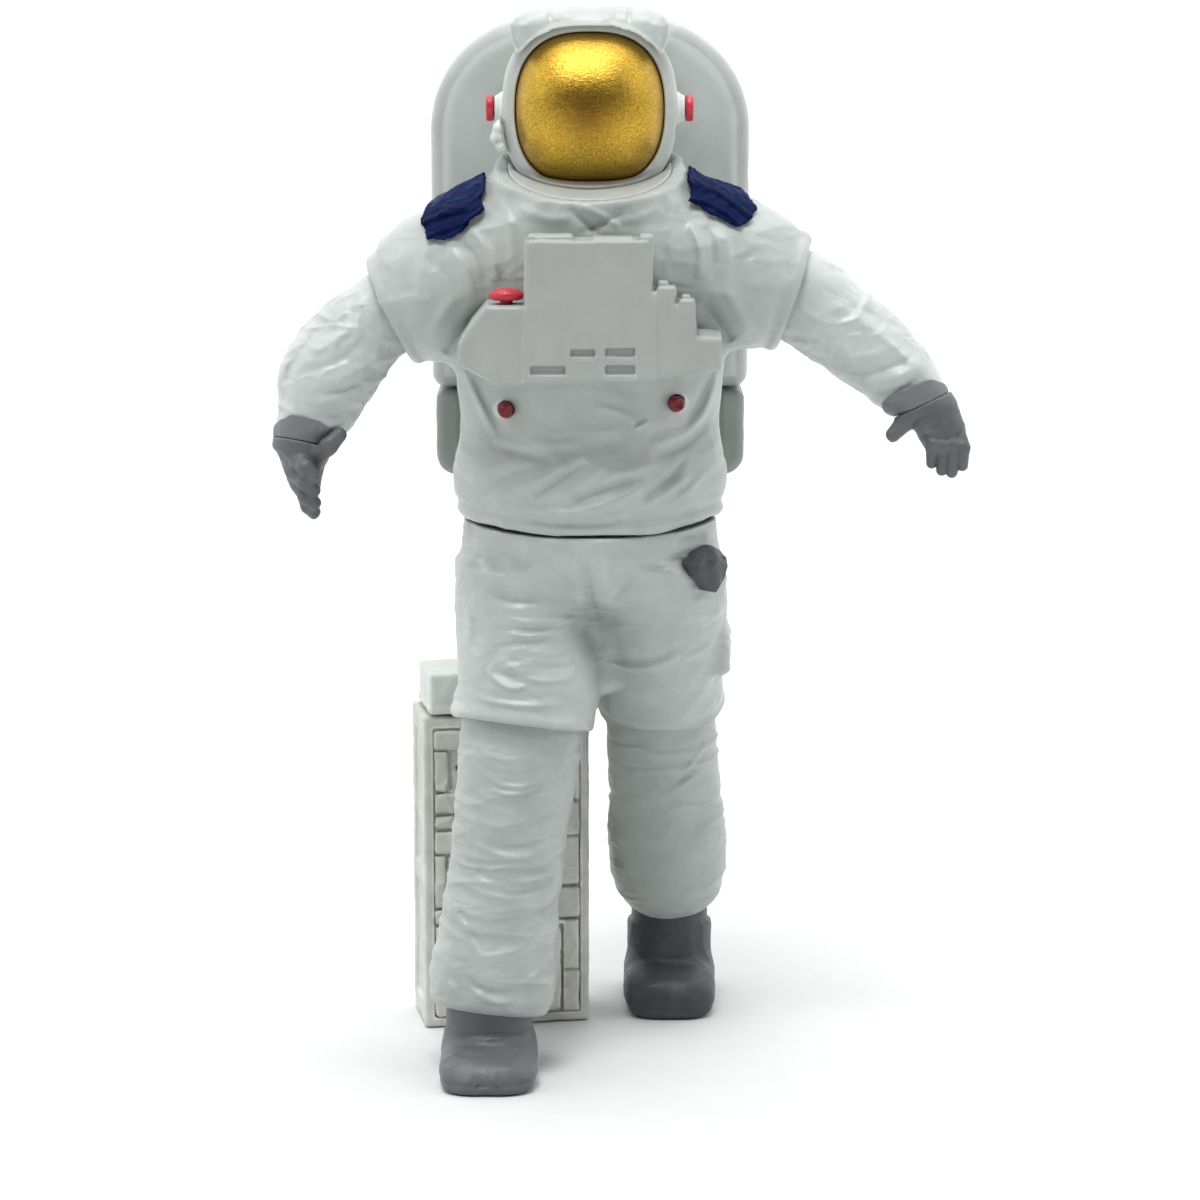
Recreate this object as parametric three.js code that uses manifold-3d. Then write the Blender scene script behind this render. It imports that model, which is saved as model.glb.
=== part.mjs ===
// Articulated astronaut figure, 1:18 scale, about 105 mm tall, with a plug-on backpack and a plug-on equipment case.
//
// Frame: millimetres, +Z up. The figure faces -Y, so its right side is at -X. Everything is laid out in the body
// frame, whose Z axis is the waist's own line at X = 0, and the finished group is moved so that the origin is at
// the middle of the bounding box on the ground.
//
// Each group below is one rigid body. Bodies turn on each other at the seams of the suit: neck, upper arms, wrists,
// waist, thigh cuffs and trouser hems. A turned peg holds each seam together.
import * as THREE from "three";
import { mergeVertices } from "three/addons/utils/BufferGeometryUtils.js";
import Module from "manifold-3d";

const wasm = await Module();
wasm.setup();

const vec = (x, y, z) => new THREE.Vector3(x, y, z);
const UP = vec(0, 0, 1);

// ---------------------------------------------------------------- driving dimensions

const GAP = 0.3; // clearance between two separate pieces
const WALL = 1.8; // moulded shell thickness
const SOCKET_DEPTH = 1.2; // how far a limb's end sits inside the sleeve or cuff around it
const PEG_HOLE = GAP; // a peg's hole is this much larger in radius
const SLIVER = 0.01; // triangles thinner than this are merged away after a boolean

const TORSO_Y = -0.8; // middle of the jacket, front to back
const HEM_Z = 53.8; // underside of the jacket
const WAIST_FLOOR_Z = 56.2; // floor of the recess that takes the trousers
const SPLIT_Y = 0.4; // the torso's two shells meet on this plane

const HELMET = vec(0, -1.2, 94.7); // helmet centre, and the visor's pivot line along X
const HELMET_OUTER = { across: 8.4, tall: 8.7 }; // half width along X, radius about the pivot line
const HELMET_POWER = 2.6; // superellipse power of the helmet's outline
const COLLAR_TILT = THREE.MathUtils.degToRad(20); // the collar is lower in front

const BACKPACK = { front: 8.6, back: 20.2, half: 16, bottom: 66, top: 103.1 };
const OXYGEN_PACK = { front: 9.4, back: 19.2, half: 15.7, bottom: 57, top: 65.7 };
const BACKPACK_PEG_Z = [70, 78];

// Seams, each with its middle and the direction that leads out along the limb.
const seam = (at, along) => ({ at, along: along.normalize() });
const ARM_SEAM = {
  right: { ...seam(vec(-19.7, -1.3, 74.8), vec(-0.9, 0, -0.43)), rim: 5.2 },
  left: { ...seam(vec(19.9, -1.3, 76.6), vec(0.956, 0, -0.29)), rim: 5.5 },
};
const WRIST_SEAM = {
  right: seam(vec(-28.3, -3.9, 62.2), vec(-0.2, -0.2, -0.96)),
  left: seam(vec(32.6, -3.8, 66.0), vec(0.42, -0.12, -0.9)),
};
const CUFF_SEAM = {
  right: { ...seam(vec(-6.7, -4.4, 34.2), vec(-0.115, -0.165, -0.98)), half: [7.1, 7.1], leg: 6.0 },
  left: { ...seam(vec(7.2, 6.0, 34.2), vec(0.046, 0.406, -0.912)), half: [6.4, 6.9], leg: 5.6 },
};
const LEG_LENGTH = { right: 28.7, left: 24.4 }; // thigh cuff to trouser hem
// Boots turn on an upright line through the hem: shaft is the radius inside the hem, up its length there, clear
// where the boot may widen below the hem, and shift moves the foot along Y.
const BOOT = {
  right: { shaft: 4.3, up: 1.5, clear: 1.2, instep: 0.72, shift: 0 },
  left: { shaft: 4.0, up: 3.4, clear: 2.8, instep: 1, shift: 1.4 },
};

const CASE = { width: 17.2, depth: 9, height: 37.2, corner: vec(-17, 5, 0), yaw: THREE.MathUtils.degToRad(10) };

// ---------------------------------------------------------------- materials

const paint = (color, roughness = 0.5, metalness = 0) =>
  new THREE.MeshStandardMaterial({ color, roughness, metalness });
const SUIT_WHITE = paint(0xdfe3df, 0.45);
const HARD_WHITE = paint(0xd3d8d3, 0.4);
const CASE_GREY = paint(0xb9bcb4, 0.6);
const GLOVE_GREY = paint(0x6a6c70, 0.6);
const NAVY = paint(0x1c2250, 0.45);
const RED = paint(0xc22733, 0.4);
const GOLD = paint(0xc79a2a, 0.3, 0.9);
const BUBBLE_BLACK = paint(0x15171a, 0.2);
const PEG_GREY = paint(0x8d9094, 0.5);
const STEEL = paint(0xa9adb2, 0.3, 0.9);

// ---------------------------------------------------------------- solids and booleans

function solid(geometry) {
  const bare = geometry.index ? geometry.clone() : geometry;
  bare.deleteAttribute("normal");
  bare.deleteAttribute("uv");
  const merged = mergeVertices(bare, 1e-4);
  return new wasm.Manifold(
    new wasm.Mesh({
      numProp: 3,
      vertProperties: merged.attributes.position.array,
      triVerts: new Uint32Array(merged.index.array),
    }),
  );
}

function geometryOf(manifold) {
  const mesh = manifold.simplify(SLIVER).getMesh();
  const geometry = new THREE.BufferGeometry()
    .setAttribute("position", new THREE.BufferAttribute(mesh.vertProperties, 3))
    .setIndex(new THREE.BufferAttribute(mesh.triVerts, 1));
  geometry.computeVertexNormals();
  return geometry;
}

const join = (...solids) => solids.reduce((a, b) => a.add(b));
const cut = (body, ...tools) => tools.reduce((a, b) => a.subtract(b), body);

function meshOf(name, shape, material) {
  const geometry = shape instanceof THREE.BufferGeometry ? shape : geometryOf(shape);
  const mesh = new THREE.Mesh(geometry, material);
  mesh.name = name;
  return mesh;
}

function body(name, ...meshes) {
  const group = new THREE.Group();
  group.name = name;
  if (meshes.length) group.add(...meshes);
  return group;
}

// Moves a geometry built about its own Z axis so that Z runs along a direction through a point.
function aimed(geometry, at, along) {
  const turn = new THREE.Quaternion().setFromUnitVectors(UP, along.clone().normalize());
  return geometry.applyQuaternion(turn).translate(at.x, at.y, at.z);
}

function aimedMesh(mesh, at, along) {
  mesh.quaternion.setFromUnitVectors(UP, along.clone().normalize());
  mesh.position.copy(at);
  return mesh;
}

// A solid of revolution about Z from [radius, height] pairs, bottom to top, on the axis at both ends.
function turned(profile, segments = 16) {
  const points = profile.map(([r, z]) => new THREE.Vector2(r, z));
  return new THREE.LatheGeometry(points, segments).rotateX(Math.PI / 2);
}

// A plain rod about Z.
const rod = (radius, from, to, segments = 16) =>
  turned([[0, from], [radius, from], [radius, to], [0, to]], segments);

function box(x0, x1, y0, y1, z0, z1) {
  return new THREE.BoxGeometry(x1 - x0, y1 - y0, z1 - z0).translate((x0 + x1) / 2, (y0 + y1) / 2, (z0 + z1) / 2);
}

// A limb: elliptical sections { at, half: [across, depth], along }, skinned from a deformed cylinder.
// Without its own direction, a section faces the way the middle line runs there.
function limb(sections, { sides = 16, power = 2, outset = 0 } = {}) {
  const last = sections.length - 1;
  const skin = new THREE.CylinderGeometry(1, 1, 2, sides, last);
  const point = skin.attributes.position;
  const frames = sections.map((s, i) => {
    const before = sections[Math.max(0, i - 1)].at;
    const after = sections[Math.min(last, i + 1)].at;
    const along = (s.along ?? after.clone().sub(before)).clone().normalize();
    const across = vec(0, 1, 0).cross(along).normalize();
    return { along, across, depth: along.clone().cross(across) };
  });
  for (let k = 0; k < point.count; k++) {
    const row = Math.round(((1 - point.getY(k)) / 2) * last);
    const { across, depth } = frames[row];
    const { at, half } = sections[row];
    const x = point.getX(k);
    const z = point.getZ(k);
    const round = Math.hypot(x, z);
    const square = round ? (Math.abs(x / round) ** power + Math.abs(z / round) ** power) ** (-1 / power) : 0;
    const place = at
      .clone()
      .addScaledVector(across, x * square * (half[0] + outset))
      .addScaledVector(depth, z * square * (half[1] + outset));
    point.setXYZ(k, place.x, place.y, place.z);
  }
  return skin;
}

// The point that lies `distance` out from a seam along its limb.
const outFrom = (joint, distance) => joint.at.clone().addScaledVector(joint.along, distance);

// A rod along a seam's direction, from and to counted outward from the seam's plane.
const seamRod = (joint, radius, from, to, segments) =>
  solid(aimed(rod(radius, from, to, segments), joint.at, joint.along));

// A headed peg across a seam: the head is kept by the parent, the shank is bonded into the limb.
function pegMesh(name, joint, { shank, from, to, head = 0, headLength = 0 }) {
  const profile = head
    ? [[0, from - headLength], [head, from - headLength], [head, from], [shank, from], [shank, to], [0, to]]
    : [[0, from], [shank, from], [shank, to], [0, to]];
  return aimedMesh(meshOf(name, turned(profile), PEG_GREY), joint.at, joint.along);
}

// ---------------------------------------------------------------- torso

// The jacket without its hollows, grown by outset all round.
function jacket(outset) {
  const level = (z, across, depth, y = TORSO_Y) => ({ at: vec(0, y, z), half: [across, depth], along: UP });
  const tilted = vec(0, -Math.sin(COLLAR_TILT), Math.cos(COLLAR_TILT));
  const trunk = limb(
    [
      level(HEM_Z - outset, 12.4, 9.0),
      level(56, 13.0, 9.2),
      level(59.5, 13.4, 9.3),
      level(63.5, 12.8, 9.1),
      level(68, 13.0, 9.1),
      level(74, 13.2, 9.0),
      level(79, 12.0, 8.8),
      { at: vec(0, -1.2, 83.2), half: [10.6, 8.6], along: tilted },
      { at: vec(0, -1.9, 87.2 + outset), half: [9.0, 7.9], along: tilted },
    ],
    { sides: 24, outset },
  );
  const sleeve = (side, inner, middle, outer) => {
    const end = ARM_SEAM[side];
    return limb(
      [
        { at: inner, half: [6.4, 7.0], along: vec(inner.x, 0, -1) },
        { at: middle, half: [7.2, 7.2] },
        { at: outer, half: [6.5, 6.5] },
        { at: outFrom(end, outset), half: [end.rim, end.rim], along: end.along },
      ],
      { sides: 20, outset },
    );
  };
  const right = sleeve("right", vec(-4.5, -1.2, 82.0), vec(-12, -1.2, 78.6), vec(-16.6, -1.3, 76.3));
  const left = sleeve("left", vec(4.5, -1.2, 82.0), vec(12, -1.2, 79.4), vec(16.4, -1.3, 77.8));
  return join(solid(trunk), solid(right), solid(left));
}

// The room that the helmet needs as it turns: the largest reach of its outline at each height, swept round Z.
function helmetRoom(grow) {
  const [across, tall, power] = [HELMET_OUTER.across + grow, HELMET_OUTER.tall + grow, HELMET_POWER];
  const reachAt = (height) => {
    let reach = 0;
    for (let x = 0; x <= across; x += 0.1) {
      const radius = tall * (1 - (x / across) ** power) ** (1 / power);
      if (radius > height) reach = Math.max(reach, Math.hypot(x, Math.sqrt(radius ** 2 - height ** 2)));
    }
    return reach;
  };
  const steps = 12;
  const profile = Array.from({ length: steps + 1 }, (_, i) => {
    const height = -Math.cos((i / steps) * Math.PI) * tall;
    return [i % steps ? reachAt(Math.abs(height)) + 0.05 : 0, height];
  });
  return solid(turned(profile, 28).translate(HELMET.x, HELMET.y, HELMET.z));
}

// A point on the helmet's half outline, from the bottom (0) round the side to the top (1).
function helmetOutline(share, across, tall, power = HELMET_POWER) {
  const angle = (share - 0.5) * Math.PI;
  const c = Math.max(Math.cos(angle), 0);
  const s = Math.sin(angle);
  const scale = (c ** power + Math.abs(s) ** power) ** (-1 / power);
  return [share === 0 || share === 1 ? 0 : across * c * scale, tall * s * scale];
}

function neckRing() {
  const ring = turned([[5.6, -1.2], [8.5, -1.2], [8.8, -0.4], [8.5, 0.7], [5.6, 0.7], [5.6, -1.2]], 28);
  ring.rotateX(COLLAR_TILT).translate(0, -1.9, 88.8);
  return cut(solid(ring), helmetRoom(GAP));
}

const BELLY_CONNECTORS = { right: vec(-8.1, -9.3, 66.0), left: vec(8.4, -9.3, 66.6) };
const CONNECTOR_RADIUS = 0.8;

function torsoParts() {
  const outside = jacket(0);
  const inside = jacket(-WALL);
  const keepInside = box(-17, 17, -20, 20, WAIST_FLOOR_Z + WALL, 82.5);
  const hollow = solid(keepInside).intersect(inside);
  const skirt = limb(
    [HEM_Z - 1, WAIST_FLOOR_Z].map((z) => ({ at: vec(0, TORSO_Y, z), half: [11.9, 8.5], along: UP })),
    { sides: 24 },
  );
  const waistHole = solid(rod(2 + PEG_HOLE, HEM_Z, WAIST_FLOOR_Z + WALL + 1).translate(0, TORSO_Y, 0));
  const neckHole = solid(rod(1.3 + PEG_HOLE, 80, 90).translate(HELMET.x, HELMET.y, 0));
  let shell = cut(outside, hollow, solid(skirt), waistHole, neckHole, helmetRoom(1.2));
  // The collar stops under the neck ring.
  const ringSeat = turned([[0, -1.5], [11, -1.5], [11, 8], [0, 8]], 28);
  shell = shell.subtract(solid(ringSeat.rotateX(COLLAR_TILT).translate(0, -1.9, 88.8)));
  for (const side of ["right", "left"]) {
    const joint = ARM_SEAM[side];
    const recess = seamRod(joint, joint.rim - 0.7, -SOCKET_DEPTH, 2, 20);
    const hole = seamRod(joint, 1.5 + PEG_HOLE, -6, 1);
    const pocket = seamRod(joint, 2.8, -6.2, -SOCKET_DEPTH - WALL);
    shell = cut(shell, recess, hole, pocket);
    const pin = BELLY_CONNECTORS[side];
    const pinHole = rod(CONNECTOR_RADIUS + PEG_HOLE, -1, 12, 12).rotateX(-Math.PI / 2);
    pinHole.translate(pin.x, pin.y, pin.z);
    shell = shell.subtract(solid(pinHole).intersect(solid(box(-20, 20, -12, -3, 60, 70))));
  }
  for (const z of BACKPACK_PEG_Z) {
    const hole = rod(1.5 + PEG_HOLE, 2, 12).rotateX(-Math.PI / 2).translate(0, 0, z);
    shell = shell.subtract(solid(hole));
  }
  const screwHole = rod(0.8 + PEG_HOLE, 0, 12, 12).rotateX(-Math.PI / 2).translate(0, 0, 62);
  shell = shell.subtract(solid(screwHole));
  const half = (y0, y1) => shell.intersect(solid(box(-40, 40, y0, y1, 40, 110)));
  return [
    meshOf("torso_front_shell", half(-30, SPLIT_Y - GAP / 2), SUIT_WHITE),
    meshOf("torso_back_shell", half(SPLIT_Y + GAP / 2, 30), SUIT_WHITE),
    meshOf("neck_ring", neckRing(), HARD_WHITE),
  ];
}

// Torso screw, driven in from behind under the backpack.
function torsoScrew() {
  const profile = [[0, 0], [0.8, 0], [0.8, 5.2], [0, 5.2]];
  return aimedMesh(meshOf("torso_screw", turned(profile, 12), STEEL), vec(0, 7.6, 62), vec(0, -1, 0));
}

// Chest control module: stepped front outline, its back following the jacket.
const MODULE_OUTLINE = [
  [-6.3, 83.4], [-6.3, 76.8], [-9.9, 76.8], [-11.4, 75.0], [-12.6, 73.1], [-12.7, 71.0], [-8.6, 68.9], [-2.8, 69.2],
  [5.8, 69.5], [12.6, 70.5], [12.7, 73.7], [10.3, 73.9], [10.1, 76.9], [8.3, 77.0], [8.3, 78.2], [6.1, 78.2], [6.1, 83.4],
];
const MODULE_FRONT = -15.4;

function chestParts() {
  const outline = new THREE.Shape(MODULE_OUTLINE.map(([x, z]) => new THREE.Vector2(x, z)));
  const block = new THREE.ExtrudeGeometry(outline, {
    depth: 8.5, bevelEnabled: true, bevelSize: 0.35, bevelThickness: 0.35, bevelOffset: -0.35, bevelSegments: 1,
  });
  block.rotateX(Math.PI / 2).translate(0, MODULE_FRONT + 8.85, 0);
  const knobAt = vec(-7.9, -13.2, 76.8 + GAP);
  const knobHole = solid(rod(0.6 + PEG_HOLE, -2.4, 2, 12).translate(knobAt.x, knobAt.y, knobAt.z));
  const knob = turned([[0, -1.9], [0.6, -1.9], [0.6, 0], [1.5, 0.1], [1.5, 0.9], [1.2, 1.2], [0, 1.2]], 16);
  const parts = [
    meshOf("chest_control_module", cut(solid(block), jacket(GAP), knobHole), HARD_WHITE),
    aimedMesh(meshOf("module_purge_knob", knob, RED), knobAt, UP),
  ];
  for (const side of ["right", "left"]) {
    const profile = [[0, 0], [0.75, 0], [0.85, 0.2], [CONNECTOR_RADIUS, 0.8], [CONNECTOR_RADIUS, 3.2], [0, 3.2]];
    const connector = turned(profile, 12);
    parts.push(
      aimedMesh(meshOf(`${side}_belly_connector`, connector, RED), BELLY_CONNECTORS[side], vec(0, 1, 0)),
    );
  }
  return parts;
}

// A patch that follows a surface: the part of a prism that lies between two outsets of the body under it.
function patch(bodyAt, outline, at, normal, thickness) {
  const shape = new THREE.Shape(outline.map(([x, y]) => new THREE.Vector2(x, y)));
  const prism = new THREE.ExtrudeGeometry(shape, { depth: 9, bevelEnabled: false });
  prism.translate(0, 0, -4.5);
  const face = normal.clone().normalize();
  const across = vec(0, 1, 0).cross(face).normalize();
  prism.applyMatrix4(new THREE.Matrix4().makeBasis(across, face.clone().cross(across), face).setPosition(at));
  const sheet = bodyAt(GAP + thickness).subtract(bodyAt(GAP));
  return solid(prism).intersect(sheet);
}

function shoulderPatches() {
  // Outline: first number down the shoulder (outward), second to the back.
  const leaf = [[-3.9, -3.2], [-1.2, -4.1], [2.2, -3.9], [3.9, -1.8], [4.0, 1.8], [2.4, 3.6], [-1.6, 3.8], [-3.9, 2.6]];
  return [
    ["right_shoulder_patch", vec(-13.2, -2.2, 84.4), vec(-0.62, -0.3, 0.72), 1],
    ["left_shoulder_patch", vec(13.0, -2.2, 85.2), vec(0.55, -0.3, 0.78), -1],
  ].map(([name, at, normal, side]) => {
    const outline = leaf.map(([down, back]) => [-side * down, back]);
    if (side > 0) outline.reverse();
    return meshOf(name, patch(jacket, outline, at, normal, 0.7), NAVY);
  });
}

// ---------------------------------------------------------------- helmet and visor

// A solid of revolution about the visor's pivot line, from the helmet's outline.
function helmetShell(across, tall, segments = 28) {
  const steps = 12;
  const profile = Array.from({ length: steps + 1 }, (_, i) => {
    const [radius, along] = helmetOutline(i / steps, tall, across);
    return [radius, along];
  });
  return solid(turned(profile, segments).rotateY(Math.PI / 2).translate(HELMET.x, HELMET.y, HELMET.z));
}

const PIVOT_PIN = 0.7;
const NECK_PEG = { radius: 1.3, bottom: 81, top: 90 };

// A rod along the visor's pivot line, right through the helmet.
function pivotRod(radius) {
  return solid(rod(radius, -12, 12, 12).rotateY(Math.PI / 2).translate(HELMET.x, HELMET.y, HELMET.z));
}

function helmetParts() {
  const outer = helmetShell(HELMET_OUTER.across, HELMET_OUTER.tall);
  const inner = helmetShell(7.5, 7.9);
  const pivotHole = pivotRod(PIVOT_PIN + PEG_HOLE);
  const neckHole = solid(rod(NECK_PEG.radius + PEG_HOLE, 84, 92).translate(HELMET.x, HELMET.y, 0));
  const face = solid(box(-12, 12, -20, HELMET.y - 2.6, 80, 110));
  // Crown: a squared housing across the top of the hood, down to its shoulders.
  const crownOutline = [[-8, 4.6], [8, 4.6], [7.9, 8.4], [6.6, 10], [-6.6, 10], [-7.9, 8.4]];
  const crownShape = new THREE.Shape(crownOutline.map(([x, z]) => new THREE.Vector2(x, z)));
  const crown = new THREE.ExtrudeGeometry(crownShape, {
    depth: 7.6, bevelEnabled: true, bevelSize: 0.4, bevelThickness: 0.4, bevelOffset: -0.4, bevelSegments: 1,
  });
  crown.rotateX(Math.PI / 2).translate(0, HELMET.y + 3.9, HELMET.z);
  const hoodBody = cut(outer, face);
  const crownSolid = cut(solid(crown), helmetShell(HELMET_OUTER.across + GAP, HELMET_OUTER.tall + GAP));
  const bubbleHole = rod(NECK_PEG.radius + PEG_HOLE, 84, NECK_PEG.top + GAP).translate(HELMET.x, HELMET.y, 0);
  const pinEnds = pivotHole.subtract(solid(box(-4, 4, -9, 9, 80, 110)));
  const bubble = cut(helmetShell(6.2, 6.6), solid(bubbleHole), pinEnds);
  const parts = [
    meshOf("helmet_hood", cut(hoodBody, inner, pivotHole, neckHole), HARD_WHITE),
    meshOf("helmet_crown", crownSolid, HARD_WHITE),
    meshOf("helmet_bubble", bubble, BUBBLE_BLACK),
  ];
  const peg = rod(NECK_PEG.radius, NECK_PEG.bottom, NECK_PEG.top).translate(HELMET.x, HELMET.y, 0);
  parts.push(meshOf("neck_peg", peg, PEG_GREY));
  for (const [side, sign] of [["right", -1], ["left", 1]]) {
    const outward = vec(sign, 0, 0);
    // The white boss stands on the hood, the pin runs through the hood and visor, the red cap closes it.
    const boss = cut(
      solid(aimed(rod(1.25, 7.6, 8.85 + 0.2), HELMET, outward)),
      helmetShell(HELMET_OUTER.across + GAP, HELMET_OUTER.tall + GAP),
      solid(aimed(rod(PIVOT_PIN + PEG_HOLE, 4, 10, 12), HELMET, outward)),
    );
    const pinProfile = [[0, 4.6], [PIVOT_PIN, 4.6], [PIVOT_PIN, 9.35], [1.15, 9.35], [1.15, 9.7], [0.9, 10], [0, 10]];
    const pin = turned(pinProfile, 16);
    parts.push(meshOf(`${side}_pivot_boss`, boss, HARD_WHITE));
    parts.push(aimedMesh(meshOf(`${side}_pivot_pin`, pin, RED), HELMET, outward));
  }
  // Latch on the hood's lower right side, high enough to pass over the neck ring when the helmet turns.
  const latchForm = new THREE.SphereGeometry(1, 10, 6).scale(1.2, 1.8, 1.6).translate(-8.2, HELMET.y - 1.6, 92.1);
  const latch = cut(solid(latchForm), helmetShell(HELMET_OUTER.across + GAP, HELMET_OUTER.tall + GAP));
  parts.push(meshOf("hood_latch", latch, HARD_WHITE));
  return parts;
}

function visorParts() {
  const shell = cut(helmetShell(7.2, 7.6), helmetShell(6.5, 6.9));
  // Kept: the front of the shell down to 66 degrees below and up to 70 above the horizon, and the pivot ears.
  const low = THREE.MathUtils.degToRad(66);
  const high = THREE.MathUtils.degToRad(70);
  const reach = 12;
  const wedge = new THREE.Shape([
    new THREE.Vector2(2.2, -1.6),
    new THREE.Vector2(-reach * Math.cos(low), -reach * Math.sin(low)),
    new THREE.Vector2(-reach, -reach),
    new THREE.Vector2(-reach, reach),
    new THREE.Vector2(-reach * Math.cos(high), reach * Math.sin(high)),
    new THREE.Vector2(2.2, 1.6),
  ].reverse());
  const keep = new THREE.ExtrudeGeometry(wedge, { depth: 20, bevelEnabled: false }).translate(0, 0, -10);
  // Shape X is the row's Y and shape Y is the row's Z.
  keep.applyMatrix4(new THREE.Matrix4().makeBasis(vec(0, 1, 0), vec(0, 0, 1), vec(1, 0, 0)));
  keep.translate(...HELMET.toArray());
  return [meshOf("gold_visor", cut(shell.intersect(solid(keep)), pivotRod(PIVOT_PIN + PEG_HOLE)), GOLD)];
}

// ---------------------------------------------------------------- arms and hands

const ARM_PATH = {
  right: [[vec(-23.3, -1.8, 71.9), 4.5], [vec(-25.6, -2.5, 68.6), 4.5], [vec(-27.0, -3.2, 65.4), 4.1]],
  left: [[vec(24.0, -1.7, 73.9), 4.2], [vec(27.6, -2.4, 71.2), 3.9], [vec(30.6, -3.2, 68.4), 3.7]],
};
const SLEEVE_END = 3.0; // radius of the sleeve at the wrist
const WRIST_STUB = 2.2; // radius of the glove's stub inside the sleeve

function armParts(side) {
  const joint = ARM_SEAM[side];
  const wrist = WRIST_SEAM[side];
  const shaft = joint.rim - 0.7 - GAP;
  const at = (where, radius, along) => ({ at: where, half: [radius, radius], along });
  const sleeve = limb([
    at(outFrom(joint, GAP - SOCKET_DEPTH), shaft, joint.along),
    at(outFrom(joint, 0.5), shaft, joint.along),
    ...ARM_PATH[side].map(([where, radius]) => at(where, radius)),
    at(wrist.at, SLEEVE_END, wrist.along),
  ]);
  const pegHole = seamRod(joint, 1.5 + PEG_HOLE, -2, 3.5);
  const wristRecess = seamRod(wrist, WRIST_STUB + GAP, -SOCKET_DEPTH, 2);
  const wristHole = seamRod(wrist, 0.9 + PEG_HOLE, -4.5, 2, 12);
  return [
    meshOf(`${side}_sleeve`, cut(solid(sleeve), pegHole, wristRecess, wristHole), SUIT_WHITE),
    pegMesh(`${side}_arm_peg`, joint, {
      shank: 1.5, from: -SOCKET_DEPTH - WALL - GAP, to: 3.2, head: 2.5, headLength: 1.2,
    }),
    pegMesh(`${side}_wrist_peg`, wrist, { shank: 0.9, from: -4.2, to: 2.2 }),
  ];
}

// A rounded finger from one point to another.
function finger(from, to, radius) {
  const length = from.distanceTo(to);
  const shape = new THREE.CapsuleGeometry(radius, length, 2, 8).rotateX(Math.PI / 2).translate(0, 0, length / 2);
  return solid(aimed(shape, from, to.clone().sub(from)));
}

function handParts(side) {
  const wrist = WRIST_SEAM[side];
  const stub = seamRod(wrist, WRIST_STUB, GAP - SOCKET_DEPTH, 1.2);
  const hand = side === "right" ? rightHand() : leftHand();
  const below = seamRod(wrist, 12, GAP, 20);
  const pegHole = seamRod(wrist, 0.9 + PEG_HOLE, -2, 2.6, 12);
  return [meshOf(`${side}_glove`, cut(join(hand.intersect(below), stub), pegHole), GLOVE_GREY)];
}

// Half-closed, its back to the figure's right, fingers stacked one under the other and curling forward.
function rightHand() {
  const palm = limb([
    { at: vec(-28.3, -3.9, 62.4), half: [2.3, 2.3], along: vec(0, 0, -1) },
    { at: vec(-28.6, -4.1, 60.6), half: [2.3, 2.8] },
    { at: vec(-28.6, -4.3, 58.2), half: [1.9, 2.7] },
    { at: vec(-28.2, -4.6, 56.0), half: [1.3, 1.9] },
  ], { sides: 12 });
  const pieces = [solid(palm)];
  for (let i = 0; i < 4; i++) {
    const knuckle = vec(-28.9 + 0.25 * i, -6.0 + 0.3 * i, 59.0 - 1.25 * i);
    const tip = vec(-27.2 - 0.1 * i, -6.9 + 0.5 * i, 58.0 - 1.15 * i);
    pieces.push(finger(knuckle, tip, 0.82));
  }
  pieces.push(finger(vec(-27.6, -4.6, 61.2), vec(-26.0, -6.2, 60.9), 0.85));
  return join(...pieces);
}

// Open and relaxed, back to the front, fingers hanging down, thumb towards the body.
function leftHand() {
  const palm = limb([
    { at: vec(32.7, -3.9, 66.0), half: [2.3, 2.0], along: vec(0, 0, -1) },
    { at: vec(33.7, -4.1, 64.2), half: [2.7, 1.8] },
    { at: vec(34.7, -4.3, 61.8), half: [2.5, 1.5] },
  ], { sides: 12 });
  const pieces = [solid(palm)];
  const tips = [58.9, 58.4, 58.4, 59.4];
  tips.forEach((z, i) => {
    const knuckle = vec(33.2 + 1.15 * i, -4.4, 61.6 - 0.1 * i);
    pieces.push(finger(knuckle, vec(33.6 + 1.08 * i, -4.9, z + 0.5), 0.72));
  });
  pieces.push(finger(vec(32.0, -4.6, 64.8), vec(30.4, -5.6, 62.9), 0.85));
  return join(...pieces);
}

// ---------------------------------------------------------------- trousers, legs and boots

// The trousers from the waist to the thigh cuffs, grown by outset.
function trousers(outset) {
  const level = (z, across, depth) => ({ at: vec(0, TORSO_Y, z), half: [across, depth], along: UP });
  const pelvis = limb(
    [
      level(44.6, 8.4, 6.2),
      level(45.6, 11.2, 7.8),
      level(47.4, 12.6, 8.8),
      level(50, 12.9, 9.1),
      level(HEM_Z - GAP - 0.1, 12.4, 8.9),
      level(HEM_Z - GAP + 0.15, 11.0, 7.7),
      level(WAIST_FLOOR_Z - GAP, 10.8, 7.6),
    ],
    { sides: 24, outset },
  );
  const thigh = (side, hip, middle) => {
    const cuff = CUFF_SEAM[side];
    return solid(
      limb(
        [
          { at: hip, half: [6.2, 8.0], along: vec(0, 0, -1) },
          { at: middle, half: [6.5, 7.6] },
          { at: outFrom(cuff, -3.6), half: [cuff.half[0] - 0.1, cuff.half[1] - 0.1], along: cuff.along },
          { at: outFrom(cuff, 0), half: cuff.half, along: cuff.along },
        ],
        { sides: 20, outset },
      ),
    );
  };
  return join(solid(pelvis), thigh("right", vec(-6.6, -0.6, 49), vec(-6.7, -2.0, 42.5)),
    thigh("left", vec(6.8, -0.4, 49), vec(7.1, 2.2, 42.5)));
}

const WAIST_PEG = { radius: 2, head: 3.6, bottom: 49, top: WAIST_FLOOR_Z + WALL + GAP };

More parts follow.
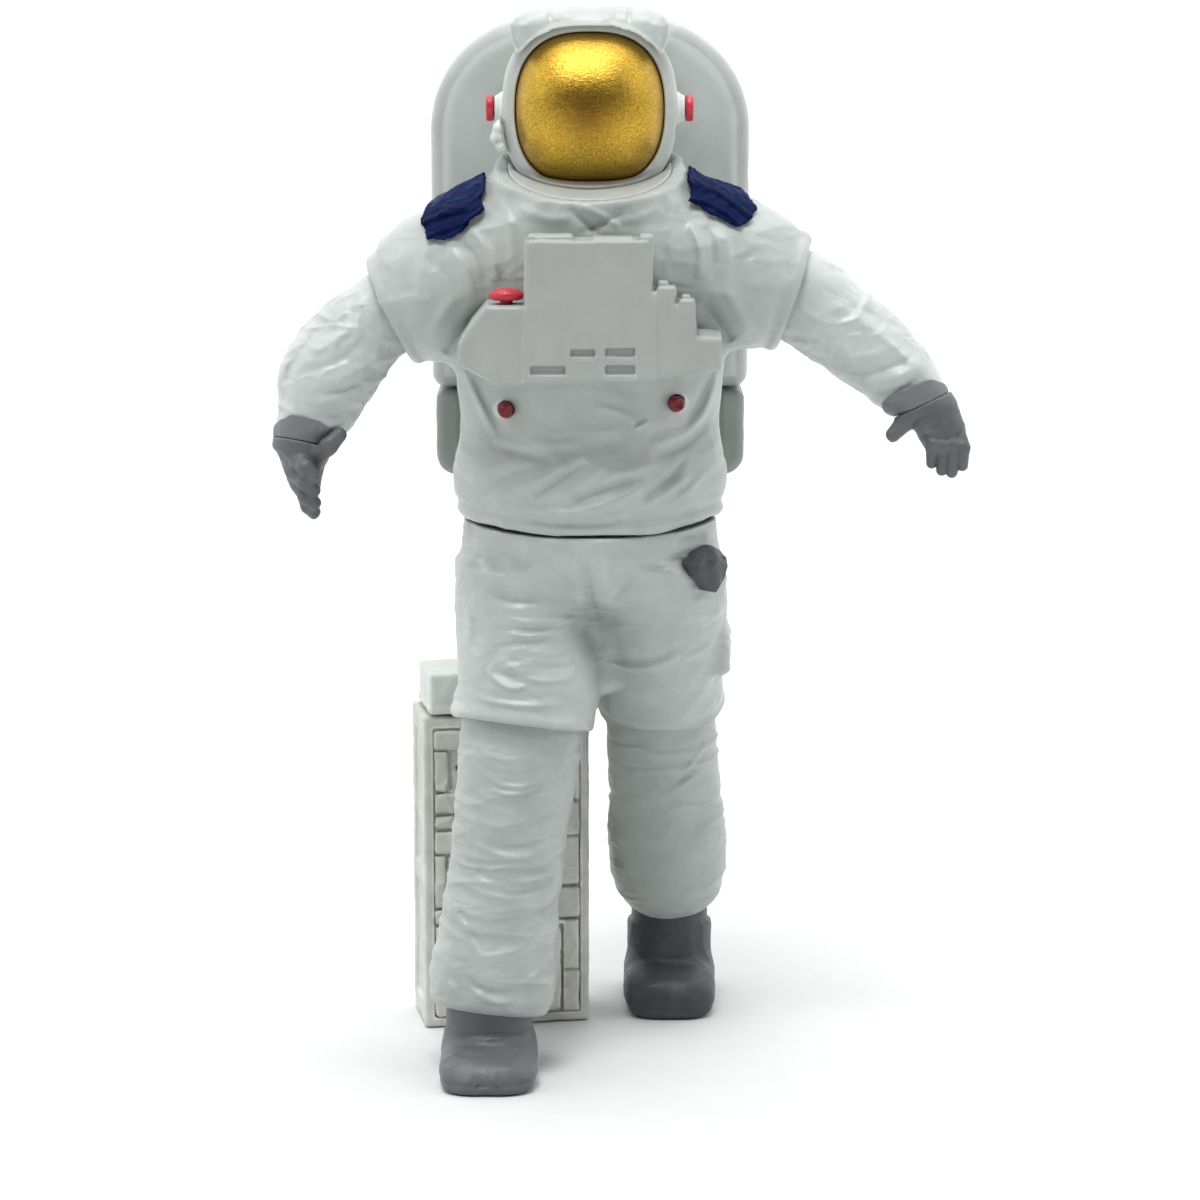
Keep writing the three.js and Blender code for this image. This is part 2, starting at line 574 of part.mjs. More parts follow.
function hipParts() {
  let shape = trousers(0);
  const waistHole = rod(WAIST_PEG.radius + PEG_HOLE, WAIST_PEG.bottom - GAP, 60).translate(0, TORSO_Y, 0);
  shape = shape.subtract(solid(waistHole));
  for (const side of ["right", "left"]) {
    const cuff = CUFF_SEAM[side];
    shape = cut(shape, seamRod(cuff, cuff.leg + GAP, -SOCKET_DEPTH, 3, 20), seamRod(cuff, 1.7 + PEG_HOLE, -6, 3));
  }
  const waistPeg = turned([
    [0, WAIST_PEG.bottom], [WAIST_PEG.radius, WAIST_PEG.bottom], [WAIST_PEG.radius, WAIST_PEG.top],
    [WAIST_PEG.head, WAIST_PEG.top], [WAIST_PEG.head, WAIST_PEG.top + 1.5], [0, WAIST_PEG.top + 1.5],
  ]).translate(0, TORSO_Y, 0);
  const padOutline = [[-1.9, 1.2], [-0.9, 2.2], [1.7, 2.4], [2.0, 0.2], [0.9, -2.3], [-0.5, -2.2]];
  const pad = patch(trousers, padOutline, vec(11.0, -6.2, 50.0), vec(0.72, -0.69, 0.02), 0.9);
  return [
    meshOf("trousers", shape, SUIT_WHITE),
    meshOf("waist_peg", waistPeg, PEG_GREY),
    meshOf("hip_tether_pad", pad, GLOVE_GREY),
  ];
}

// Where a lower leg ends, and the line that its boot turns on.
const ankleSeam = (side) => seam(outFrom(CUFF_SEAM[side], LEG_LENGTH[side]), vec(0, 0, -1));
const LEG_SHAPE = {
  right: [[5, 5.9, 5.9], [12, 5.6, 5.7], [20, 5.8, 5.8], [25.5, 6.2, 6.0]],
  left: [[5, 5.6, 5.8], [11, 5.6, 5.8], [17, 6.0, 6.2], [21.5, 5.9, 6.0]],
};
const HEM = { right: [5.8, 5.6], left: [5.1, 5.3] };
const CASE_PEG = { z: 20, radius: 1.3, length: 9.2 };

function casePegFrame() {
  const { corner, yaw, width } = CASE;
  const outward = vec(Math.sin(yaw), -Math.cos(yaw), 0);
  const along = vec(Math.cos(yaw), Math.sin(yaw), 0);
  const at = corner.clone().addScaledVector(along, width * 0.5).setZ(CASE_PEG.z);
  return { at, along: outward };
}

function legParts(side) {
  const cuff = CUFF_SEAM[side];
  const ankle = ankleSeam(side);
  const length = LEG_LENGTH[side];
  const at = (t, across, depth) => ({ at: outFrom(cuff, t), half: [across, depth], along: cuff.along });
  const shape = limb([
    at(GAP - SOCKET_DEPTH, cuff.leg, cuff.leg),
    at(0.6, cuff.leg, cuff.leg),
    ...LEG_SHAPE[side].map((s) => at(...s)),
    at(length - 0.9, HEM[side][0] + 0.3, HEM[side][1] + 0.3),
    at(length, ...HEM[side]),
  ], { sides: 20 });
  const { shaft, up } = BOOT[side];
  let leg = cut(
    solid(shape),
    seamRod(cuff, 1.7 + PEG_HOLE, -3, 5),
    seamRod(ankle, shaft + GAP, -up - GAP, 5, 20),
    seamRod(ankle, 1.5 + PEG_HOLE, -5.5 - up, 2),
  );
  if (side === "right") {
    const socket = casePegFrame();
    leg = leg.subtract(seamRod(socket, CASE_PEG.radius + PEG_HOLE, 0, CASE_PEG.length + GAP, 12));
  }
  return [
    meshOf(`${side}_lower_leg`, leg, SUIT_WHITE),
    pegMesh(`${side}_knee_peg`, cuff, { shank: 1.7, from: -5.7, to: 4.7 }),
  ];
}

// A boot: flat foot with its toe at -Y, and a shaft that rises into the hem. The instep stays clear of the hem as
// the boot turns.
function bootParts(side) {
  const { shaft, up, clear, instep, shift } = BOOT[side];
  const ankle = ankleSeam(side);
  const stations = [ // y, half width, height over the sole
    [6.4, 2.2, 2.6], [5.6, 3.7, 4.4], [3.2, 4.5, 6.0], [0, 4.6, 6.2], [-3.4, 4.7, 5.6], [-6.4, 4.8, 4.6],
    [-8.4, 4.1, 3.7], [-9.4, 2.4, 2.8],
  ];
  // Each station starts a little below the ground, where the sole is cut flat.
  const foot = limb(
    stations.map(([y, half, height]) => ({
      at: vec(ankle.at.x, ankle.at.y + shift + y, (instep * height - 0.6) / 2),
      half: [(instep * height + 0.6) / 2, half],
      along: vec(1e-4, -1, 0),
    })),
    { sides: 16, power: 2.8 },
  );
  const level = (z, across, depth, y = 0) => ({
    at: vec(ankle.at.x, ankle.at.y + y, z), half: [across, depth], along: vec(0, 0, -1),
  });
  const tube = limb([
    level(ankle.at.z + up, shaft, shaft),
    level(ankle.at.z - clear, shaft, shaft),
    level(ankle.at.z - clear - 0.6, 4.42, shaft + 0.3, 0.3 * shift),
    level(1.5, 4.42, shaft + 0.3, 0.3 * shift),
  ]);
  const ground = solid(box(-60, 60, -60, 60, -10, 0));
  const pegHole = seamRod(ankle, 1.5 + PEG_HOLE, -up - 1, 3.5);
  return [
    meshOf(`${side}_boot`, cut(join(solid(foot), solid(tube)), ground, pegHole), GLOVE_GREY),
    pegMesh(`${side}_ankle_peg`, ankle, { shank: 1.5, from: -5.2 - up, to: 3.2 }),
  ];
}

// ---------------------------------------------------------------- backpack

// Front-view outline with rounded corners, as a ring of points, none repeated.
function roundedOutline(half, bottom, top, topRadius, bottomRadius, inset = 0) {
  const [h, b, t] = [half - inset, bottom + inset, top - inset];
  const [r, q] = [Math.max(topRadius - inset, 0.2), Math.max(bottomRadius - inset, 0.2)];
  const corner = (x, z, radius, from) =>
    Array.from({ length: 6 }, (_, i) => {
      const angle = from + (i / 5) * (Math.PI / 2);
      return new THREE.Vector2(x + radius * Math.cos(angle), z + radius * Math.sin(angle));
    });
  return new THREE.Shape([
    ...corner(h - q, b + q, q, -Math.PI / 2),
    ...corner(h - r, t - r, r, 0),
    ...corner(-h + r, t - r, r, Math.PI / 2),
    ...corner(-h + q, b + q, q, Math.PI),
  ]);
}

// A front-view outline as a solid between two planes across Y.
function slab(shape, front, back, bevel = 0) {
  const geometry = new THREE.ExtrudeGeometry(shape, {
    depth: back - front - 2 * bevel,
    bevelEnabled: bevel > 0,
    bevelSize: bevel,
    bevelThickness: bevel,
    bevelOffset: -bevel,
    bevelSegments: 2,
  });
  return solid(geometry.rotateX(Math.PI / 2).translate(0, back - bevel, 0));
}

function backpackParts() {
  const { front, back, half, bottom, top } = BACKPACK;
  const outline = (inset) => roundedOutline(half, bottom, top, 11, 1.4, inset);
  const tray = cut(
    slab(outline(0), front, back, 0.8),
    slab(outline(1.6), front - 1, back - 1.6),
  );
  const panel = slab(outline(1.6 + GAP), front + 0.2, front + 2);
  const pegHoles = BACKPACK_PEG_Z.map((z) =>
    solid(rod(1.5 + PEG_HOLE, front - 1, front + 5).rotateX(-Math.PI / 2).translate(0, 0, z)));
  const helmetBay = solid(turned([[0, 84], [9.6, 84], [9.6, 106], [0, 106]], 28).translate(HELMET.x, HELMET.y, 0));
  const parts = [
    meshOf("backpack_shell", cut(tray, helmetBay), SUIT_WHITE),
    meshOf("backpack_front_panel", cut(panel, helmetBay, ...pegHoles), HARD_WHITE),
  ];
  const pack = OXYGEN_PACK;
  parts.push(
    meshOf("oxygen_pack", slab(roundedOutline(pack.half, pack.bottom, pack.top, 1, 2.2), pack.front, pack.back, 0.6),
      SUIT_WHITE),
  );
  BACKPACK_PEG_Z.forEach((z, i) => {
    const peg = turned([[0, 4.4], [1.2, 4.4], [1.5, 4.9], [1.5, front + 4.4], [0, front + 4.4]]);
    parts.push(aimedMesh(meshOf(`backpack_peg_${i + 1}`, peg, PEG_GREY), vec(0, 0, z), vec(0, 1, 0)));
  });
  return parts;
}

// ---------------------------------------------------------------- equipment case

function caseParts() {
  const { width, depth, height, corner, yaw } = CASE;
  const frame = 1.0; // rim round the front recess
  const recess = 1.6;
  const placed = (mesh) => {
    mesh.position.copy(corner);
    mesh.rotation.z = yaw;
    return mesh;
  };
  const lid = 4.2;
  const shell = cut(
    solid(box(0, width, 0, depth, 0, height - lid - GAP)),
    solid(box(frame, width - frame, -1, recess, frame, height - lid - 2 * frame)),
    solid(rod(CASE_PEG.radius + PEG_HOLE, -1, 6, 12).rotateX(-Math.PI / 2).translate(width / 2, 0, CASE_PEG.z)),
  );
  const panel = cut(
    solid(box(frame + GAP, width - frame - GAP, 0.4, recess - GAP, frame + GAP, height - lid - 2 * frame - GAP)),
    solid(rod(CASE_PEG.radius + PEG_HOLE, -1, 6, 12).rotateX(-Math.PI / 2).translate(width / 2, 0, CASE_PEG.z)),
  );
  const lidShape = solid(box(0.6, width - 0.2, -0.2, depth - 0.4, height - lid, height));
  const pouch = solid(box(4.2, width - 3.1, -1.0, 0.4 - GAP, 1.4, 10.2));
  const tip = 0.3 - CASE_PEG.length;
  const peg = turned([[0, tip], [CASE_PEG.radius, tip], [CASE_PEG.radius, 5.6], [0, 5.6]], 12);
  peg.rotateX(-Math.PI / 2).translate(width / 2, 0, CASE_PEG.z);
  return [
    placed(meshOf("case_shell", shell, CASE_GREY)),
    placed(meshOf("case_front_panel", panel, CASE_GREY)),
    placed(meshOf("case_lid", lidShape, SUIT_WHITE)),
    placed(meshOf("case_pouch", pouch, CASE_GREY)),
    placed(meshOf("case_peg", peg, PEG_GREY)),
  ];
}

// ---------------------------------------------------------------- assembly

const figure = body(
  "astronaut_figure",
  body("torso", ...torsoParts(), torsoScrew(), ...chestParts(), ...shoulderPatches()),
  body("helmet", ...helmetParts()),
  body("visor", ...visorParts()),
  body("right_arm", ...armParts("right")),
  body("left_arm", ...armParts("left")),
  body("right_hand", ...handParts("right")),
  body("left_hand", ...handParts("left")),
  body("hips", ...hipParts()),
  body("right_leg", ...legParts("right")),
  body("left_leg", ...legParts("left")),
  body("right_foot", ...bootParts("right")),
  body("left_foot", ...bootParts("left")),
  body("backpack", ...backpackParts()),
  body("case", ...caseParts()),
);

const bounds = new THREE.Box3().setFromObject(figure);
const middle = bounds.getCenter(vec(0, 0, 0));
figure.position.set(-Math.round(middle.x * 10) / 10, -Math.round(middle.y * 10) / 10, 0);

export default figure;
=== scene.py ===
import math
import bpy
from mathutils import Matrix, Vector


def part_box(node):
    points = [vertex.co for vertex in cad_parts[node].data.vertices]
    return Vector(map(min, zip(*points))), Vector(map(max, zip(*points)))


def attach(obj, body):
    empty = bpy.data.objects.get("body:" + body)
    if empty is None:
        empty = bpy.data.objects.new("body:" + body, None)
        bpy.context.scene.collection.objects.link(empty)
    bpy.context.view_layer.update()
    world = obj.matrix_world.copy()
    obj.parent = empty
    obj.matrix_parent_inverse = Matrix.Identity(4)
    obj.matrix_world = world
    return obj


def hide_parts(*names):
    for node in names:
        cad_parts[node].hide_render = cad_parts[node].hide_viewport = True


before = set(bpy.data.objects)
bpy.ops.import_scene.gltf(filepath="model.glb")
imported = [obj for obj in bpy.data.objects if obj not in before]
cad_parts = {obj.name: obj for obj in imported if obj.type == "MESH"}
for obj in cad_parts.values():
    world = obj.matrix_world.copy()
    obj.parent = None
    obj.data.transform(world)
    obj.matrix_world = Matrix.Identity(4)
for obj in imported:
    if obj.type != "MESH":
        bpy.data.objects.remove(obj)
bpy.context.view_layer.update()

# Astronaut figure. Every visible piece is sculpted here as a distance field in the figure's own frame (millimetres,
# X = 0 on the waist's line, the figure faces -Y), turned into a mesh, and moved to the place of its CAD node.
from concurrent.futures import ThreadPoolExecutor

import bpy
import numpy as np
from mathutils import Vector

# ------------------------------------------------------------------ the figure's own frame

HELMET = np.array([0.0, -1.2, 94.7])  # helmet centre
bubble_lo, bubble_hi = (np.array(corner) * 1000 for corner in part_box("helmet_bubble"))
ROW_SHIFT = (bubble_lo + bubble_hi) / 2 - HELMET
ROW_SHIFT[2] = 0.0

GAP = 0.3  # clearance between neighbouring CAD solids
SPLIT_Y = 0.4  # the torso's two shells meet here
COLLAR_TILT = math.radians(20)
COLLAR_AT = np.array([0.0, -1.9, 88.8])
WAIST_FLOOR = 56.2
HEM_Z = 53.8
TORSO_Y = -0.8
SOCKET_DEPTH = 1.2
WALL = 1.8
UP = (0, 0, 1)
BACK = (0, 1, 0)
WAIST_TURN = math.radians(12)  # the waist joint's limit, each way
ROUND, SQUARED = 2.0, 2.6  # powers of a superellipse
PEG_HOLE = 0.3  # how much wider a peg's hole is than the peg, in radius
PEG_RADIUS = {"neck": 1.3, "waist": 2.0, "shoulder": 1.5, "wrist": 0.9, "knee": 1.7, "ankle": 1.5, "back": 1.5,
              "case": 1.3}
WRIST_BORE, WRIST_SPIGOT = 2.0, 1.8  # the hand's spigot turns in the sleeve's end


def unit(v):
    v = np.asarray(v, float)
    return v / np.linalg.norm(v)


class Seam:
    """A joint of the suit: its middle, and the direction that leads out along the limb."""

    def __init__(self, at, along):
        self.at = np.array(at, float)
        self.along = unit(along)

    def out(self, distance):
        return self.at + self.along * distance


ARM = {"right": Seam((-19.7, -1.3, 74.8), (-0.9, 0, -0.43)), "left": Seam((19.9, -1.3, 76.6), (0.956, 0, -0.29))}
ARM_RIM = {"right": 5.2, "left": 5.5}
WRIST = {"right": Seam((-28.3, -3.9, 62.2), (-0.2, -0.2, -0.96)),
         "left": Seam((32.6, -3.8, 66.0), (0.42, -0.12, -0.9))}
CUFF = {"right": Seam((-6.7, -4.4, 34.2), (-0.115, -0.165, -0.98)),
        "left": Seam((7.2, 6.0, 34.2), (0.046, 0.406, -0.912))}
CUFF_HALF = {"right": (7.1, 7.1), "left": (6.4, 6.9)}
LEG_TOP = {"right": 6.0, "left": 5.6}
LEG_LENGTH = {"right": 28.7, "left": 24.4}
ANKLE = {side: Seam(CUFF[side].out(LEG_LENGTH[side]), (0, 0, -1)) for side in CUFF}

CASE_CORNER = np.array((-17.0, 5.0, 0.0))
CASE_YAW = math.radians(10)
CASE_WIDTH, CASE_DEPTH, CASE_HEIGHT = 17.2, 9.0, 37.2
CASE_ALONG = np.array((math.cos(CASE_YAW), math.sin(CASE_YAW), 0))
CASE_BACK = np.array((-math.sin(CASE_YAW), math.cos(CASE_YAW), 0))
CASE_PEG = Seam(CASE_CORNER + CASE_ALONG * CASE_WIDTH / 2 + (0, 0, 20), -CASE_BACK)

# ------------------------------------------------------------------ distance fields


def smin(a, b, k):
    h = np.clip(0.5 + 0.5 * (b - a) / k, 0, 1)
    return b + (a - b) * h - k * h * (1 - h)


def smax(a, b, k):
    return -smin(-a, -b, k)


def joined(parts, blend):
    d = parts[0]
    for part in parts[1:]:
        d = smin(d, part, blend)
    return d


def bell(x, width):
    return np.exp(-(x / width) ** 2)


def ramp(x, x0, x1):
    t = np.clip((x - x0) / (x1 - x0), 0, 1)
    return t * t * (3 - 2 * t)


def rod(p, seam, radius, start, end, bevel=0.0):
    """A round rod along a seam's direction, from start to end counted outward from the seam."""
    q = p - seam.at
    w = q @ seam.along
    r = np.linalg.norm(q - w[:, None] * seam.along, axis=1) - radius
    ends = np.maximum(start - w, w - end)
    return smax(r, ends, bevel) if bevel else np.maximum(r, ends)


def peg_hole(p, seam, peg, start, end):
    return rod(p, seam, PEG_RADIUS[peg] + PEG_HOLE, start, end)


def capsule(p, a, b, ra, rb):
    a, b = np.asarray(a, float), np.asarray(b, float)
    ab = b - a
    t = np.clip((p - a) @ ab / (ab @ ab), 0, 1)
    return np.linalg.norm(p - a - t[:, None] * ab, axis=1) - (ra + (rb - ra) * t)


def rounded_box(p, lo, hi, radius):
    lo, hi = np.asarray(lo, float), np.asarray(hi, float)
    q = np.abs(p - (lo + hi) / 2) - ((hi - lo) / 2 - radius)
    return np.linalg.norm(np.maximum(q, 0), axis=1) + np.minimum(q.max(axis=1), 0) - radius


def rounded_rectangle(x, y, half_x, half_y, radius):
    """Distance to a rectangle centred on zero, with rounded corners."""
    qx, qy = np.abs(x) - half_x + radius, np.abs(y) - half_y + radius
    return np.hypot(np.maximum(qx, 0), np.maximum(qy, 0)) + np.minimum(np.maximum(qx, qy), 0) - radius


def ellipsoid(p, centre, radii):
    q = (p - np.asarray(centre, float)) / np.asarray(radii, float)
    k = np.linalg.norm(q, axis=1)
    slope = np.linalg.norm(q / np.asarray(radii, float), axis=1) / np.maximum(k, 1e-6)
    return (k - 1) / np.maximum(slope, 1e-6)


def polygon(x, y, points):
    """Signed distance to a closed outline in a plane."""
    points = np.asarray(points, float)
    best = np.full(x.shape, 1e9)
    inside = np.zeros(x.shape, bool)
    for (ax, ay), (bx, by) in zip(points, np.roll(points, -1, axis=0)):
        ex, ey = bx - ax, by - ay
        t = np.clip(((x - ax) * ex + (y - ay) * ey) / (ex * ex + ey * ey), 0, 1)
        best = np.minimum(best, np.hypot(x - ax - t * ex, y - ay - t * ey))
        if ay != by:
            crosses = (ay > y) != (by > y)
            inside ^= crosses & (x < (bx - ax) * (y - ay) / (by - ay) + ax)
    return np.where(inside, -best, best)


def lattice_noise(p, seed):
    """Smooth noise between -1 and 1 with features about one unit across."""
    cell = np.floor(p).astype(np.int64)
    f = p - cell
    f = f * f * (3 - 2 * f)
    total = np.zeros(len(p))
    for corner in range(8):
        dx, dy, dz = corner & 1, corner >> 1 & 1, corner >> 2
        h = (cell[:, 0] + dx) * 73856093 ^ (cell[:, 1] + dy) * 19349663 ^ (cell[:, 2] + dz) * 83492791 ^ seed * 2654435
        h = (h ^ (h >> 13)) * 1274126177 & 0x7FFFFFFF
        value = (h ^ (h >> 16)) % 65536 / 32768 - 1
        weight = (f[:, 0] if dx else 1 - f[:, 0]) * (f[:, 1] if dy else 1 - f[:, 1])
        total += value * weight * (f[:, 2] if dz else 1 - f[:, 2])
    return total


def crumple(p, seed, size, stretch=(1, 1, 1)):
    """Cloth-like relief: warped ridges, between -1 and 1."""
    q = p / (np.asarray(stretch, float) * size)
    warp = np.stack([lattice_noise(q * 0.6 + 7 * i, seed + i) for i in range(3)], axis=1)
    return 1 - 2 * np.abs(lattice_noise(q + 0.9 * warp, seed + 5)) ** 0.8


def smooth_curve(x, knots, values, start=None, end=None):
    """Cubic Hermite curve through values at knots, with the slopes of its neighbours, or given ones at the ends."""
    steps = np.diff(knots)[:, None]
    secant = np.diff(values, axis=0) / steps
    slope = np.vstack([secant[:1], (secant[1:] + secant[:-1]) / 2, secant[-1:]])
    if start is not None:
        slope[0] = unit(start)
    if end is not None:
        slope[-1] = unit(end)
    i = np.clip(np.searchsorted(knots, x, side="right") - 1, 0, len(steps) - 1)
    h = steps[i]
    t = (x - knots[i])[:, None] / h
    return ((1 + 2 * t) * (1 - t) ** 2 * values[i] + t * (1 - t) ** 2 * h * slope[i]
            + t * t * (3 - 2 * t) * values[i + 1] + t * t * (t - 1) * h * slope[i + 1])


def superellipse(x, y, half_x, half_y, power):
    """Distance to a rounded cross-section."""
    ax, ay = np.abs(x) / half_x + 1e-9, np.abs(y) / half_y + 1e-9
    k = (ax ** power + ay ** power) ** (1 / power)
    slope = np.hypot((ax / k) ** (power - 1) / half_x, (ay / k) ** (power - 1) / half_y)
    wall = (k - 1) / np.maximum(slope, 1e-6)
    return np.where(k < 0.35, (k - 1) * np.minimum(half_x, half_y), wall)


class Limb:
    """A round form along a smooth middle line, from stations (middle, half across, half depth)."""

    SAMPLES = 160

    def __init__(self, stations, start_along=None, end_along=None):
        at = np.array([s[0] for s in stations], float)
        half = np.array([s[1:3] for s in stations], float)
        knots = np.concatenate([[0], np.cumsum(np.linalg.norm(np.diff(at, axis=0), axis=1))])
        self.length = knots[-1]
        self.s = np.linspace(0, self.length, self.SAMPLES)
        self.centre = smooth_curve(self.s, knots, at, start_along, end_along)
        self.half = np.maximum(smooth_curve(self.s, knots, half), 0.2)
        tangent = np.gradient(self.centre, self.s, axis=0)
        self.tangent = tangent / np.linalg.norm(tangent, axis=1)[:, None]
        across = np.cross(BACK, self.tangent)
        self.across = across / np.linalg.norm(across, axis=1)[:, None]

    def look(self, table, s):
        return np.stack([np.interp(s, self.s, column) for column in table.T], axis=1)

    def wall(self, p):
        """Distance to the side wall, and the place along the middle line."""
        chord = self.centre[-1] - self.centre[0]
        s = np.clip((p - self.centre[0]) @ chord / (chord @ chord), 0, 1) * self.length
        for _ in range(3):
            c, t = self.look(self.centre, s), self.look(self.tangent, s)
            s = np.clip(s + 0.9 * np.einsum("ij,ij->i", p - c, t), 0, self.length)
        c, t, u = self.look(self.centre, s), self.look(self.tangent, s), self.look(self.across, s)
        t /= np.linalg.norm(t, axis=1)[:, None]
        u /= np.linalg.norm(u, axis=1)[:, None]
        v = np.cross(t, u)
        q = p - c
        x, y = (np.einsum("ij,ij->i", q, axis) for axis in (u, v))
        half = self.look(self.half, s)
        wall = superellipse(x, y, half[:, 0], half[:, 1], ROUND)
        return wall, s

    def ends(self, p):
        """Distance beyond the planes that end the form."""
        return np.maximum((self.centre[0] - p) @ self.tangent[0], (p - self.centre[-1]) @ self.tangent[-1])

    def solid(self, p, rounding=0.3):
        return smax(self.wall(p)[0], self.ends(p), rounding)


class Folds:
    """Folds raised from a surface, or pressed into it where the height is negative.

    Each is (start, middle, end, half width, height). Points are in space, or, where front is given, in the front
    view (X, Z), and then the folds fade in as the surface comes forward of Y = front.
    """

    def __init__(self, items, front=None, strength=1.0):
        self.front = front
        self.items = []
        for a, b, c, width, height in items:
            a, b, c = (np.asarray(v, float) for v in (a, b, c))
            t = np.linspace(0, 1, 9)[:, None]
            line = (1 - t) ** 2 * a + 2 * t * (1 - t) * (2 * b - (a + c) / 2) + t * t * c
            self.items.append((line, width, height * strength))

    def __call__(self, p):
        q = p if self.front is None else p[:, [0, 2]]
        total = np.zeros(len(p))
        for line, width, height in self.items:
            middle = line.mean(axis=0)
            reach = np.linalg.norm(line - middle, axis=1).max() + 2.4 * width
            near = np.flatnonzero(((q - middle) ** 2).sum(axis=1) < reach * reach)
            if not len(near):
                continue
            points = q[near]
            best, place = np.full(len(points), 1e9), np.zeros(len(points))
            for i, (a, b) in enumerate(zip(line[:-1], line[1:])):
                ab = b - a
                t = np.clip((points - a) @ ab / (ab @ ab), 0, 1)
                r = ((points - a - t[:, None] * ab) ** 2).sum(axis=1)
                closer = r < best
                best = np.where(closer, r, best)
                place = np.where(closer, (i + t) / (len(line) - 1), place)
            taper = np.clip(4 * place * (1 - place), 0, 1) ** 0.6
            total[near] += height * taper * np.exp(-best / width ** 2)
        return total if self.front is None else total * ramp(self.front - p[:, 1], 0, 2.5)


# ------------------------------------------------------------------ field to mesh


PART_LENGTH = 60000  # points worked out at once


def sample(field, lo, hi, step):
    """The field on a grid, worked out in full only in the blocks that the surface passes through."""
    block = 4
    counts = np.ceil((np.asarray(hi) - lo) / (step * block)).astype(int) + 1
    centres = np.stack(np.meshgrid(*[np.arange(n) for n in counts], indexing="ij"), axis=-1).reshape(-1, 3)
    middle = lo + (centres * block + (block - 1) / 2) * step
    parts = np.array_split(middle, max(1, len(middle) // PART_LENGTH))
    coarse = np.concatenate([field(part) for part in parts])
    grid = coarse.reshape(counts).astype(np.float32)
    for axis in range(3):
        grid = np.repeat(grid, block, axis)
    active = centres[np.abs(coarse) < 7.0 * step]
    offsets = np.stack(np.meshgrid(*[np.arange(block)] * 3, indexing="ij"), axis=-1).reshape(-1, 3)
    nodes = (active[:, None, :] * block + offsets[None]).reshape(-1, 3)
    for part in np.array_split(nodes, max(1, len(nodes) // PART_LENGTH)):
        grid[part[:, 0], part[:, 1], part[:, 2]] = field(lo + part * step)
    return grid


def join_diagonals(grid):
    """Joins grid points that are inside across a face's diagonal only, so that no mesh edge gets four faces."""
    for _ in range(8):
        found = False
        for axes in ((0, 1), (0, 2), (1, 2)):
            corner = []
            for du, dv in ((0, 0), (1, 0), (0, 1), (1, 1)):
                window = [slice(None)] * 3
                window[axes[0]] = slice(du, grid.shape[axes[0]] - 1 + du)
                window[axes[1]] = slice(dv, grid.shape[axes[1]] - 1 + dv)
                corner.append(grid[tuple(window)])
            a, b, c, d = (part < 0 for part in corner)
            falling = np.argwhere(a & d & ~b & ~c)
            rising = np.argwhere(b & c & ~a & ~d)
            corner[1][tuple(falling.T)] = -1e-4
            corner[0][tuple(rising.T)] = -1e-4
            found |= len(falling) + len(rising) > 0
        if not found:
            return


def surface_net(grid, lo, step):
    """One vertex in each cell that the surface crosses, one quad for each crossed grid edge."""
    join_diagonals(grid)
    inside = grid < 0
    corners = [(dx, dy, dz) for dx in (0, 1) for dy in (0, 1) for dz in (0, 1)]
    size = np.array(grid.shape) - 1

    def window(a, d):
        return a[d[0]:d[0] + size[0], d[1]:d[1] + size[1], d[2]:d[2] + size[2]]

    count = sum(window(inside, d).astype(np.int8) for d in corners)
    cells = np.argwhere((count > 0) & (count < 8))
    index = np.full(size, -1, np.int64)
    index[tuple(cells.T)] = np.arange(len(cells))
    total, hits = np.zeros((len(cells), 3)), np.zeros(len(cells))
    for d in corners:
        for axis in range(3):
            if d[axis]:
                continue
            e = list(d)
            e[axis] = 1
            a = grid[tuple((cells + d).T)]
            b = grid[tuple((cells + e).T)]
            cross = (a < 0) != (b < 0)
            t = np.where(cross, a / np.where(cross, a - b, 1), 0)
            point = np.tile(np.array(d, float), (len(cells), 1))
            point[:, axis] += t
            total += point * cross[:, None]
            hits += cross
    points = lo + (cells + total / hits[:, None]) * step
    quads = []
    for axis in range(3):
        other = [a for a in range(3) if a != axis]
        lower = [slice(1, -1)] * 3
        upper = [slice(1, -1)] * 3
        lower[axis], upper[axis] = slice(0, -1), slice(1, None)
        flips = np.argwhere(inside[tuple(lower)] != inside[tuple(upper)])
        base = flips + 1
        base[:, axis] -= 1
        out = inside[tuple(base.T)]
        ring = []
        for du, dv in ((-1, -1), (0, -1), (0, 0), (-1, 0)):
            cell = base.copy()
            cell[:, other[0]] += du
            cell[:, other[1]] += dv
            ring.append(index[tuple(cell.T)])
        quad = np.stack(ring, axis=1)
        reverse = out ^ (axis != 1)
        quad[reverse] = quad[reverse][:, ::-1]
        quads.append(quad)
    return points, np.concatenate(quads)


def gradient(field, p, step):
    """Field value and slope at points, from four samples at the corners of a small tetrahedron."""
    corners = np.array([(1, 1, 1), (1, -1, -1), (-1, 1, -1), (-1, -1, 1)], float)
    values = [field(p + corner * step) for corner in corners]
    slope = sum(v[:, None] * corner for v, corner in zip(values, corners)) / (4 * step)
    return sum(values) / 4, slope


def in_parts(work, p):
    results = [work(part) for part in np.array_split(p, len(p) // PART_LENGTH + 1)]
    return [np.concatenate(column) for column in zip(*results)]


